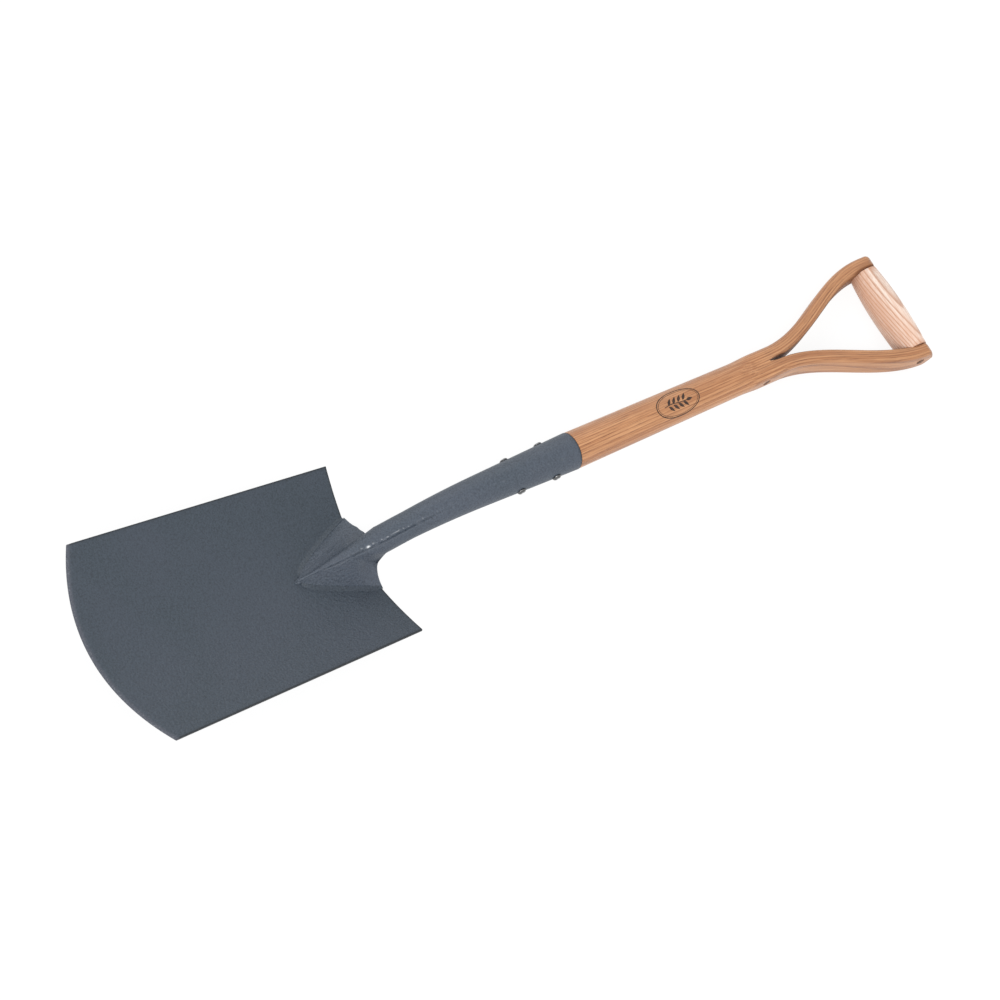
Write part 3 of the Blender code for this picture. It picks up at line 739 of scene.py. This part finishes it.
def knee_points(crown, crown_centre, reach, foot):
    """From the ridge's upright side round a fillet and down a straight wing to its outline."""
    slope_height = foot + WING_SLOPE * (reach - crown)
    knee = min(slope_height, crown_centre - 2.0 * KNEE_LEAST)
    fillet = max(KNEE_LEAST, min(WING_KNEE, 0.5 * (crown_centre - knee), 0.4 * (reach - crown)))
    length = hypot(reach - crown, foot - knee)
    far_x = crown + fillet * (reach - crown) / length
    far_z = knee + fillet * (foot - knee) / length
    points = []
    for t in spaced(0.0, 1.0, KNEE_STEPS):
        a, b, c = (1.0 - t) ** 2, 2.0 * t * (1.0 - t), t * t
        points.append(((a + b) * crown + c * far_x, a * (knee + fillet) + b * knee + c * far_z))
    for t in spaced(0.0, 1.0, FLARE_STEPS - KNEE_STEPS + 1)[1:]:
        points.append((far_x + (reach - far_x) * t, far_z + (foot - far_z) * t))
    return points


def filled_wing(points, start, filled):
    """The wing's points, drawn towards a plain slope from the side of the ridge to the outline."""
    end = points[-1]
    made = []
    for i, (x, z) in enumerate(points):
        t = (i + 1.0) / len(points)
        plain_x = start[0] + (end[0] - start[0]) * t
        plain_z = start[2] + (end[1] - start[2]) * t
        made.append((x + (plain_x - x) * filled, z + (plain_z - z) * filled))
    return made


def wing_dent(x, y, crown, reach):
    """Unevenness of the beaten wings, and a shallow valley down the left one."""
    share = min(1.0, max(0.0, (abs(x) - crown) / max(0.001, reach - crown)))
    valley = exp(-((share - 0.55) / 0.22) ** 2) * smooth_step(reach, 0.008, 0.030)
    uneven = 0.5 * ripple(x * 90.0, y * 90.0, 2.0) + 0.25 * ripple(x * 260.0, y * 260.0, 5.0)
    if x > 0.0:
        valley = 0.0
    return (0.0005 * uneven - 0.0007 * valley) * sin(pi * min(1.0, share + 0.12))


def frog_half(y, side, hollow, winged):
    """Half of an upright section of the frog: ridge, wing, and a floor along the blade."""
    grown = frog_growth(y)
    crest, crown, reach = crest_height(grown), crown_radius(grown), wing_reach(grown, side)
    floor, edge = GAP, WING_EDGE
    if hollow:
        crown -= SOCKET_WALL
        crest -= CAVITY_CREST
        reach -= CAVITY_SIDE
        floor += FROG_FLOOR
        edge *= 0.5
    crown_centre = crest - CROWN_TALL * crown
    filled = 0.0
    if winged and not hollow:
        filled = (RIGHT_FILL if side > 0.0 else LEFT_FILL) * (1.0 - smooth_step(grown, 0.60, 0.96))
    half = []
    for a in spaced(0.0, 0.5 * pi - filled * FILL_TURN, CROWN_STEPS + 1):
        point = (crown * sin(a), y, crown_centre + (crest - crown_centre) * cos(a))
        half.append((point, (sin(a), 0.0, cos(a)), a))
    upward = (0.0, 0.0, 1.0)
    if winged:
        foot = blade_front(reach, y) + floor + edge
        ragged = 0.0 if hollow else smooth_step(grown, 0.93, 1.0)
        for x, z in filled_wing(knee_points(crown, crown_centre, reach, foot), half[-1][0], filled):
            shift = 0.0016 * ragged * ripple(side * x * 170.0, z * 60.0, 7.0)
            if side > 0.0 and not hollow:
                share = (x - crown) / max(0.001, reach - crown)
                drawn_in = smooth_step(share, 0.0, 0.12) * (1.0 - 0.7 * smooth_step(share, 0.12, 1.0))
                shift -= WING_DRAWN_IN * drawn_in * smooth_step(grown, 0.72, 1.0)
            dent = 0.0 if hollow else wing_dent(side * x, y, crown, reach)
            half.append(((x, y + shift, z + dent), upward, pi))
    else:
        reach = crown
        foot = blade_front(reach, y) + floor + edge
        for z in spaced(crown_centre, foot, FLARE_STEPS + 1)[1:]:
            half.append(((crown, y, z), upward, pi))
    for x in spaced(reach, 0.0, FLOOR_STEPS):
        half.append(((x, y, blade_front(x, y) + floor), upward, pi))
    return half


def frog_ring(y, hollow=False, winged=True):
    crown = crown_radius(frog_growth(y))
    right = frog_half(y, 1.0, hollow, winged)
    left = frog_half(y, -1.0, hollow, winged)
    return ring_of(right, left, relief_for(crown, y, not hollow))


def nose_ring():
    """A small ring ahead of the frog's apex, so that its tip ramps down to the blade."""
    y = FROG_APEX - NOSE_RUN
    ring = []
    for x, _, z in frog_ring(FROG_APEX):
        rise = z - blade_front(x, FROG_APEX)
        ring.append((0.3 * x, y, blade_front(0.3 * x, y) + 0.08 * rise))
    return ring


def seam_specks_and_glint(point):
    """Specks of bare weld along the seam, part bare metal and part painted glint, thinning out up the tube;
    one painted glint, a bright blob, at its foot.
    """
    y = point.y
    if y < FROG_END:
        grown = max(0.0, frog_growth(y))
        radius = crown_radius(grown)
        height = crest_height(grown) - CROWN_TALL * radius
    else:
        height, _ = bend_height(min(y, BEND_START))
        radius = NECK_RADIUS
    if point.z < height:
        return 0.0
    arc = (atan2(point.x, point.z - height) - SEAM_TURN) * radius
    near = exp(-((arc + 0.0004) / 0.0009) ** 2)
    fade = smooth_step(y, -0.034, -0.026) * (1.0 - 0.9 * smooth_step(y, 0.012, 0.050))
    specks = smooth_step(ripple(y * 620.0, arc * 500.0, 1.0), 0.24, 0.42)
    # the painted glint
    blob = exp(-((y - GLINT_BLOB_AT) / 0.0012) ** 2) * exp(-(arc / 0.0008) ** 2)
    return min(1.0, 0.36 * near * fade * specks + 1.3 * blob)


# Painted shade: a dark band round the socket's mouth.
def mouth_rim_shade(point):
    along, _ = shaft_place(point)
    return exp(-((MOUTH - along) / 0.0007) ** 2)


def build_socket(material):
    outside = [nose_ring()] + [frog_ring(y) for y in spaced(FROG_APEX, FROG_END, 90)]
    outside.append(frog_ring(FROG_END + 0.0010, winged=False))
    outside.append(neck_ring(FROG_END + 0.0025, NECK_RADIUS))
    along_tube = spaced(TUBE_START, BEND_START, 92) + spaced(BEND_START + 0.002, MOUTH - 0.0006, 56)
    outside += [tube_ring(s, socket_radius(s)) for s in along_tube]
    outside.append(tube_ring(MOUTH, socket_radius(MOUTH) - 0.0005, seamed=False))
    inner = spaced(MOUTH, TUBE_START, 12)
    inside = [tube_ring(s, socket_radius(s) - SOCKET_WALL, seamed=False) for s in inner]
    inside.append(neck_ring(FROG_END - 0.0010, NECK_RADIUS - SOCKET_WALL, seamed=False))
    inside.append(frog_ring(FROG_END - 0.0025, hollow=True, winged=False))
    inside += [frog_ring(y, hollow=True) for y in spaced(FROG_END - 0.0035, CAVITY_START, 6)]
    piece = finish_object("socket_shell", loft(outside + inside), 60.0)
    paint_shade_and_marks(piece, edge=mouth_rim_shade, speck=seam_specks_and_glint)
    fit_over(piece, material, "painted_steel", "socket")


def weld_run(name, node, route, radius, material):
    """A low, lumpy weld along a route of points."""
    rings = []
    last = len(route) - 1
    for i, point in enumerate(route):
        ahead = (route[min(last, i + 1)] - route[max(0, i - 1)]).normalized()
        side = ahead.cross(Vector((0.0, 0.0, 1.0))).normalized()
        up = side.cross(ahead)
        taper = 0.25 + 0.75 * min(1.0, min(i, last - i) / 6.0)
        swell = radius * taper * (1.0 + 0.35 * ripple(point.x * 260.0, point.y * 260.0, 9.0))
        ring = []
        for a in full_turn(12):
            ring.append(tuple(point + side * swell * 1.3 * cos(a) + up * swell * 0.8 * sin(a)))
        rings.append(ring)
    piece = finish_object(name, loft(rings), 60.0)
    paint_shade_and_marks(piece)
    fit_over(piece, material, "painted_steel", node)


def wing_ramp(side):
    """A weld that ramps softly from a wing's outline down to the blade."""
    rings = []
    stations = spaced(0.02, 0.985, 110)
    for i, grown in enumerate(stations):
        y = FROG_APEX + (FROG_END - FROG_APEX) * grown
        reach = wing_reach(grown, side)
        taper = 0.35 + 0.65 * min(1.0, min(i, len(stations) - 1 - i) / 8.0)
        swell = taper * (1.0 + 0.22 * ripple(y * 210.0, side * 5.0, 9.0))
        ring = []
        for out, share in RAMP_TOP:
            x = reach + out * swell
            ring.append((side * x, y, blade_front(x, y) + share * (GAP + WING_EDGE)))
        for out, drop in RAMP_FOOT:
            x = reach + out * swell
            ring.append((side * x, y, blade_front(x, y) - drop))
        rings.append(ring)
    return rings


def build_welds(material):
    for side, hand in ((-1.0, "left"), (1.0, "right")):
        piece = finish_object("wing_weld_" + hand, loft(wing_ramp(side)), 70.0)
        paint_shade_and_marks(piece)
        fit_over(piece, material, "painted_steel", "weld_bead_" + hand)
    route = []
    for x in spaced(-BACK_WELD_HALF_LENGTH, BACK_WELD_HALF_LENGTH, 90):
        y = shoulder_line(x / (0.5 * BLADE_TOP_WIDTH)) + BACK_WELD_RADIUS + GAP
        route.append(Vector((x, y, blade_front(x, y) - BACK_WELD_RADIUS)))
    weld_run("back_weld", "weld_bead_back", route, BACK_WELD_RADIUS, material)


# Shaft and arms ------

def end_radius_of(side):
    return LEFT_END_RADIUS if side < 0.0 else RIGHT_END_RADIUS


def tongue_radius(along):
    return socket_radius(along) - SOCKET_WALL - GAP


def shaft_radius(along):
    taper = (CROTCH_RADIUS - SHAFT_RADIUS) / (CROTCH - MOUTH)
    return SHAFT_RADIUS + taper * (along - MOUTH)


def rounded_half(half_width, half_depth, corner):
    """Right half of a rounded rectangle, from the back middle round to the front middle."""
    points = [(0.0, -half_depth)]
    for sign in (-1.0, 1.0):
        for i in range(CORNER_STEPS + 1):
            a = 0.5 * pi * (i / CORNER_STEPS if sign < 0.0 else 1.0 - i / CORNER_STEPS)
            x = half_width - corner + corner * sin(a)
            points.append((x, sign * (half_depth - corner + corner * cos(a))))
    points.append((0.0, half_depth))
    return points


def shaft_half(along, radius):
    """Right half of the shaft's section: round, then flattened front and back below the slot."""
    flat = smooth_step(along, FLAT_START, FLAT_END)
    depth = radius + (ARM_HALF_THICKNESS - radius) * flat
    round_corner = 0.99 * radius
    corner = round_corner + (SHAFT_CORNER - round_corner) * flat
    return rounded_half(radius, depth, min(corner, 0.99 * depth))


def arm_middle(along, side):
    """Sideways place of an arm's centre line, and its slope: an S-shaped sweep."""
    sweep_end = LEFT_SWEEP_END if side < 0.0 else RIGHT_SWEEP_END
    run = sweep_end - SWEEP_START
    t = min(1.0, max(0.0, (along - SWEEP_START) / run))
    wide = ARM_HEAD_X - ARM_FOOT_X
    slope = 0.5 * pi * wide * sin(pi * t) / run
    return ARM_FOOT_X + 0.5 * wide * (1.0 - cos(pi * t)), slope


def inner_wall(reach, depth, corner):
    """Inner side of an arm from its front to its back: offset from the centre line, and height."""
    arc = spaced(0.0, 0.5 * pi, CORNER_STEPS + 1)[1:]
    front = [(corner - reach - corner * sin(a), depth - corner + corner * cos(a)) for a in arc]
    return front + [(x, -d) for x, d in reversed(front)]


def arm_loop(along, side):
    """Section of one arm, square to its centre line: round its outer side, then its inner side."""
    middle, slope = arm_middle(along, side)
    opened = min(1.0, (along - CROTCH) / SLOT_ROUND)
    slot = SLOT_HALF * opened ** 0.6
    inner = middle - max(middle - 0.5 * ARM_WIDTH, slot)
    parted = smooth_step(along, CROTCH, CROTCH + PART_RUN)
    outer = (1.0 - parted) * (shaft_radius(CROTCH) - ARM_FOOT_X) + parted * 0.5 * ARM_WIDTH
    past = max(0.0, along - GRIP_AT)
    end_radius = end_radius_of(side)
    depth = min(ARM_HALF_THICKNESS, sqrt(max(0.0, end_radius ** 2 - past ** 2)))
    corner = min(SHAFT_CORNER + (ARM_CORNER - SHAFT_CORNER) * parted, 0.8 * depth, 0.99 * outer)
    inner_corner = min(SLOT_CORNER + (ARM_CORNER - SLOT_CORNER) * parted, 0.8 * depth)
    flat_end = inner_corner - inner
    outer_half = rounded_half(outer, depth, corner)
    section = [(flat_end, -depth)] + outer_half[1:-1] + [(flat_end, depth)]
    section += inner_wall(inner, depth, inner_corner)
    turn = atan(slope)
    lean = lean_at(along)
    loop = []
    for x, d in section:
        shifted = along - x * sin(turn)
        loop.append(tuple(place(shifted, lean + side * (middle + x * cos(turn)), d)))
    return loop


def lean_at(along):
    return ARM_LEAN * smooth_step(along, CROTCH, CROTCH + LEAN_RUN)


def arm_stations(side):
    end_radius = end_radius_of(side)
    near_slot = [CROTCH + step for step in (0.0002, 0.0006, 0.0012, 0.0019, 0.0027, 0.0035, 0.0045, 0.0060)]
    sweep = spaced(CROTCH + 0.008, GRIP_AT - 0.003, 54)
    end = [GRIP_AT + end_radius * sin(a) for a in spaced(0.0, 1.50, 16)]
    return near_slot + sweep + end


def grain_at(point):
    """Place within the timber: the fibres run along Z, and follow the bent arms."""
    along, out = shaft_place(point)
    if along <= CROTCH:
        return (point.x, out, along)
    x = point.x - lean_at(along)
    side = 1.0 if x > 0.0 else -1.0
    middle, slope = arm_middle(along, side)
    across = (abs(x) - middle) / hypot(1.0, slope)
    return (side * (ARM_FOOT_X + across), out, along + 0.25 * max(0.0, middle - ARM_FOOT_X))


def shaft_painted_shade(point):
    """Darker wood, painted as shade, inside the slot, on the arms' inner sides and where they meet the
    grip; the arms are also a little darker all over.
    """
    along, out = shaft_place(point)
    if along < CROTCH - 0.0010:
        return 0.0
    x = point.x - lean_at(along)
    side = 1.0 if x > 0.0 else -1.0
    middle, slope = arm_middle(along, side)
    inward = (abs(x) - max(middle - 0.5 * ARM_WIDTH, 0.0)) / hypot(1.0, slope)
    near_grip = smooth_step(along, GRIP_AT - 0.022, GRIP_AT - 0.004)
    wall = 1.0 - smooth_step(inward, 0.0004, 0.0030 + (0.0040 * near_grip if side < 0.0 else 0.0))
    slot = 1.0 - smooth_step(along, CROTCH + 0.014, CROTCH + 0.036)
    cheek = smooth_step(along, GRIP_AT - 0.030, GRIP_AT - 0.010)
    deep = 1.0 - smooth_step(out, ARM_HALF_THICKNESS - 0.0035, ARM_HALF_THICKNESS - 0.0003)
    begun = smooth_step(along, CROTCH, CROTCH + 0.0060)
    side_wall = 0.60 * max(deep, 0.30) * begun
    return max(0.06, wall * max(0.95 * slot * max(deep, 0.30 * begun), 0.80 * cheek, side_wall))


def cut_holes(piece, cutter):
    hole = piece.modifiers.new("holes", "BOOLEAN")
    hole.operation = "DIFFERENCE"
    hole.object = cutter
    hole.solver = "EXACT"


def make_cutter(bars):
    """Stepped bars across the shaft's line: (distance along it, offset, profile of x and radius)."""
    bm = bmesh.new()
    steps = 40
    for along, offset, profile in bars:
        point, ahead, outward = axis_frame(along)
        turn = [2.0 * pi * (i + 0.5) / steps for i in range(steps)]
        rings = []
        for x, radius in profile:
            ring = [point + ahead * radius * cos(a) + outward * radius * sin(a) for a in turn]
            rings.append([(x + offset, p.y, p.z) for p in ring])
        loft(rings, bm)
    return finish_object("cutter", bm)


def seated_bar(along, offset, half_length, face, burr_radius, shank):
    """A rivet hole that widens at both ends into a seat for a burr."""
    seat = face - BURR_THICKNESS - GAP
    wide, narrow = burr_radius + GAP, shank + GAP
    left = [(-half_length, wide), (-seat, wide), (-seat, narrow)]
    right = [(seat, narrow), (seat, wide), (half_length, wide)]
    return (along, offset, left + right)


def shaft_bars():
    shank = RIVET_SHANK + GAP
    bars = [(along, 0.0, [(-0.03, shank), (0.03, shank)]) for along in SOCKET_RIVETS.values()]
    bars.append(seated_bar(CROTCH_RIVET_AT, 0.0, 0.025, *CROTCH_BURR, CROTCH_SHANK))
    bars.append(seated_bar(GRIP_AT, ARM_LEAN, 0.075, *GRIP_BURR, GRIP_PIN_SHANK))
    return bars


def build_shaft(material):
    bm = bmesh.new()
    shoulder = MOUTH + GAP
    sections = [(TONGUE_END, shaft_half(TONGUE_END, TONGUE_TIP * tongue_radius(TONGUE_END)))]
    for along in spaced(TONGUE_END + 0.006, shoulder, 12):
        sections.append((along, shaft_half(along, tongue_radius(along))))
    for along in [shoulder] + spaced(0.222, FLAT_START, 30) + spaced(FLAT_START + 0.002, CROTCH, 20):
        sections.append((along, shaft_half(along, shaft_radius(along))))
    rings = []
    for along, half in sections:
        whole = half + [(-x, d) for x, d in reversed(half[1:-1])]
        rings.append([bm.verts.new(place(along, x, d)) for x, d in whole])
    skin(bm, rings)
    bm.faces.new(rings[0])
    crotch = rings[-1]
    half_count = len(sections[-1][1])
    wall = inner_wall(0.0, ARM_HALF_THICKNESS, SLOT_CORNER)
    saddle = [bm.verts.new(place(CROTCH, 0.0, d)) for _, d in wall]
    right = crotch[:half_count] + saddle
    left = [crotch[0]] + list(reversed(crotch[half_count - 1:]))[:-1] + [crotch[half_count - 1]] + saddle
    for side, start in ((1.0, right), (-1.0, left)):
        previous = start
        for along in arm_stations(side):
            loop = [bm.verts.new(point) for point in arm_loop(along, side)]
            bridge(bm, previous, loop)
            previous = loop
        bm.faces.new(previous)
    piece = finish_object("ash_shaft", bm, 40.0)
    cutter = make_cutter(shaft_bars())
    cut_holes(piece, cutter)
    apply_modifiers(piece)
    bpy.data.objects.remove(cutter)
    piece.data.set_sharp_from_angle(angle=radians(40.0))
    paint_attribute(piece, "grain", grain_at)
    paint_attribute(piece, "painted_shade", shaft_painted_shade)
    fit_over(piece, material, "ash", "shaft")


# Grip, rivets and pins ------

def set_across(piece, along, x=0.0):
    """Stand a piece that was turned about X on the shaft's line, or beside it."""
    point, _, _ = axis_frame(along)
    piece.matrix_world = Matrix.Translation((x, point.y, point.z)) @ Matrix.Rotation(LIFT, 4, "X")


def grip_painted_shade(point, half):
    """Painted shade: browner at the ends, where the arms meet the grip, and on the side that faces the
    opening.
    """
    ends = 0.45 * smooth_step(abs(point.x), half - 0.007, half)
    inner = 0.42 * smooth_step(-point.y, -0.004, 0.013)
    return max(ends, inner)


def build_grip(material):
    half = ARM_HEAD_X - 0.5 * ARM_WIDTH + GAP
    profile = [(-half, 0.003)]
    for x in spaced(-half, half, 41):
        share = (x / half) ** 2
        profile.append((x, GRIP_RADIUS - (GRIP_RADIUS - end_radius_of(x)) * share))
    profile.append((half, 0.003))
    piece = finish_object("cross_grip", turned(profile), 50.0)
    paint_attribute(piece, "grain", lambda point: (point.y, point.z, point.x))
    paint_attribute(piece, "painted_shade", lambda point: grip_painted_shade(point, half))
    set_across(piece, GRIP_AT, ARM_LEAN)
    fit_over(piece, material, "pale_ash", "grip")


def head_profile(base, height, radius, direction, steps=10):
    """Profile of a domed head from its rim to its top, along +X or -X."""
    profile = [(direction * base, 0.94 * radius)]
    for a in spaced(0.12, 1.50, steps):
        profile.append((direction * (base + height * sin(a)), radius * cos(a) ** 0.8))
    return profile


def pin_profile(face, height, radius, shank):
    right = head_profile(face, height, radius, 1.0)
    left = list(reversed(head_profile(face, height, radius, -1.0)))
    return left + [(-face, shank), (face, shank)] + right


def hammered(seed):
    """Uneven outline for a head that was struck over by hand."""
    def shape(x, a):
        side = 1.0 if x > 0.0 else -1.0
        return 1.0 + 0.07 * ripple(1.4 * cos(a) + seed, 1.4 * sin(a), side * 3.0)
    return shape


def washer(near, far, outer, inner, steps=48):
    """A flat ring about X with softened rims."""
    bm = bmesh.new()
    soft = 0.15 * abs(far - near)
    inward = soft if far > near else -soft
    corners = ((near, inner), (near, outer - soft), (near + inward, outer), (far - inward, outer),
               (far, outer - soft), (far, inner))
    loops = []
    for x, radius in corners:
        turn = full_turn(steps)
        loops.append([bm.verts.new((x, radius * cos(a), radius * sin(a))) for a in turn])
    for i in range(len(loops)):
        bridge(bm, loops[i], loops[(i + 1) % len(loops)])
    return bm


def rivet_dark_reflection(point):
    """Painted dark reflection round the heads; the right-hand heads are painted dark but for their middles.
    """
    clean = 0.0008 if point.x > 0.0 else 0.0034
    return smooth_step(hypot(point.y, point.z), clean, clean + 0.0011)


def build_fasteners(bright, dark):
    for seed, (node, along) in enumerate(SOCKET_RIVETS.items()):
        face = socket_radius(along) - 0.0002
        profile = pin_profile(face, RIVET_HEAD_HEIGHT, RIVET_HEAD_RADIUS, RIVET_SHANK)
        piece = finish_object(node + "_body", turned(profile, 48, hammered(5.0 * seed)), 60.0)
        # painted dark reflections on the rivet heads
        paint_attribute(piece, "grime_and_reflection", rivet_dark_reflection)
        set_across(piece, along)
        fit_over(piece, bright, "rivet_steel", node)
    pins = (
        ("crotch_rivet", "crotch_burr", CROTCH_RIVET_AT, 0.0, CROTCH_SHANK, CROTCH_BURR),
        ("grip_pin", "grip_burr", GRIP_AT, ARM_LEAN, GRIP_PIN_SHANK, GRIP_BURR),
    )
    for node, burr, along, x, shank, (face, burr_radius) in pins:
        profile = pin_profile(face, PIN_HEAD_HEIGHT, shank + PIN_HEAD_OVERLAP, shank)
        piece = finish_object(node + "_body", turned(profile, 48, hammered(along)), 60.0)
        paint_attribute(piece, "grime_and_reflection", lambda at: 0.3)
        set_across(piece, along, x)
        fit_over(piece, dark, "pin_steel", node)
        for end, side in (("_left", -1.0), ("_right", 1.0)):
            ring = washer(side * (face - BURR_THICKNESS), side * face, burr_radius, shank + 0.5 * GAP)
            piece = finish_object(burr + end + "_washer", ring)
            paint_attribute(piece, "grime_and_reflection", lambda at: 0.7)
            set_across(piece, along, x)
            fit_over(piece, dark, "pin_steel", burr + end)


# Burnt mark: a plain leaf sprig in an oval ------

def on_shaft(u, v, lift):
    """A point on the shaft: u along it and v round it from the mark's middle."""
    along = MARK_AT + u
    radius = shaft_radius(along)
    a = MARK_TURN + v / radius
    return place(along, (radius + lift) * sin(a), (radius + lift) * cos(a))


def stroke(bm, points, half_widths, closed=False):
    """A thin raised line or leaf on the shaft through points in (u, v)."""
    last = len(points) - 1
    rows = []
    for i, (u, v) in enumerate(points):
        before = points[i - 1] if closed or i > 0 else points[i]
        after = points[(i + 1) % len(points)] if closed or i < last else points[i]
        du, dv = after[0] - before[0], after[1] - before[1]
        size = hypot(du, dv)
        nu, nv = -dv / size, du / size
        row = []
        for share, lift in MARK_SECTION:
            w = half_widths[i] * share
            row.append(bm.verts.new(on_shaft(u + nu * w, v + nv * w, lift)))
        rows.append(row)
    skin(bm, rows + (rows[:1] if closed else []))
    if not closed:
        bm.faces.new(rows[0])
        bm.faces.new(rows[-1])


def oval(long_half, wide_half, count=72):
    return [(long_half * cos(a), wide_half * sin(a)) for a in full_turn(count)]


def leaf(bm, u, v, angle, length, width):
    points, widths = [], []
    for t in spaced(0.0, 1.0, 9):
        points.append((u + length * t * cos(angle), v + length * t * sin(angle)))
        widths.append(0.00012 + width * sin(pi * t ** 0.8) ** 1.2)
    stroke(bm, points, widths)


def build_mark(material):
    bm = bmesh.new()
    long_half, wide_half = 0.5 * MARK_LENGTH, 0.5 * MARK_WIDTH
    for inset, width in MARK_LINES:
        ring = oval(long_half - inset, wide_half - inset)
        stroke(bm, ring, [width] * len(ring), closed=True)
    stem = [(u, 0.0008 * sin(180.0 * u)) for u in spaced(*STEM, 14)]
    stroke(bm, stem, [STEM_HALF_WIDTH] * len(stem))
    for u in LEAVES_AT:
        for side in (-1.0, 1.0):
            leaf(bm, u, side * 0.0006, side * LEAF_TURN, LEAF_LENGTH, LEAF_HALF_WIDTH)
    leaf(bm, 0.0100, 0.0007, 0.0, 0.0075, 0.0015)
    piece = finish_object("burnt_sprig", bm, 60.0)
    fit_over(piece, material, "ash")


# Stage ------

def build_stage():
    bm = bmesh.new()
    corners = ((-1.0, -1.0), (1.0, -1.0), (1.0, 1.0), (-1.0, 1.0))
    bm.faces.new([bm.verts.new((x * FLOOR_HALF, y * FLOOR_HALF, 0.0)) for x, y in corners])
    floor = finish_object("floor", bm)
    made, _, shader = new_material("pale_floor", 0.9)
    shader.inputs["Base Color"].default_value = (FLOOR_GREY, FLOOR_GREY, FLOOR_GREY, 1.0)
    shader.inputs["Specular IOR Level"].default_value = 0.0
    shader.inputs["Emission Color"].default_value = (1.0, 1.0, 1.0, 1.0)
    shader.inputs["Emission Strength"].default_value = FLOOR_GLOW
    floor.data.materials.append(made)


def area_light(name, location, size, power):
    light = bpy.data.lights.new(name, "AREA")
    light.shape = "DISK"
    light.size = size
    light.energy = power
    made = bpy.data.objects.new(name, light)
    made.location = location
    made.rotation_euler = (-Vector(location)).to_track_quat("-Z", "Y").to_euler()
    bpy.context.collection.objects.link(made)


def build_lights():
    world = bpy.data.worlds.new("studio")
    world.use_nodes = True
    background = world.node_tree.nodes["Background"]
    background.inputs["Color"].default_value = (1.0, 1.0, 1.0, 1.0)
    background.inputs["Strength"].default_value = WORLD_STRENGTH
    bpy.context.scene.world = world
    for name, (location, size, power) in LIGHTS.items():
        area_light(name, location, size, power)


def build_camera():
    camera = bpy.data.cameras.new("camera")
    camera.lens = CAMERA_LENS
    camera.sensor_width = 36.0
    made = bpy.data.objects.new("camera", camera)
    turn = Euler([radians(angle) for angle in CAMERA_TURN]).to_matrix().to_4x4()
    made.matrix_world = REST @ Matrix.Translation(CAMERA_PLACE) @ turn
    bpy.context.collection.objects.link(made)
    bpy.context.scene.camera = made


# Everything ------

def build_everything():
    blade_paint = hammered_paint("blade_paint", BLADE_PAINT)
    # the socket's paint is painted lighter, as painted light
    lit_socket_paint = hammered_paint("lit_socket_paint", LIT_SOCKET_PAINT)
    bright = struck_steel("bright_rivets", RIVET_STEEL, 0.25)
    dark = struck_steel("dark_pins", RUSTY_STEEL, 0.6, metallic=0.35)
    build_camera()
    build_blade(blade_paint)
    build_socket(lit_socket_paint)
    build_welds(blade_paint)
    build_shaft(ash_wood("shaft_ash", SHAFT_ASH))
    build_grip(ash_wood("grip_ash", GRIP_ASH))
    build_fasteners(bright, dark)
    build_mark(burnt_wood("burnt_line"))
    build_stage()
    build_lights()
    bpy.context.scene.view_settings.view_transform = "Standard"


build_everything()
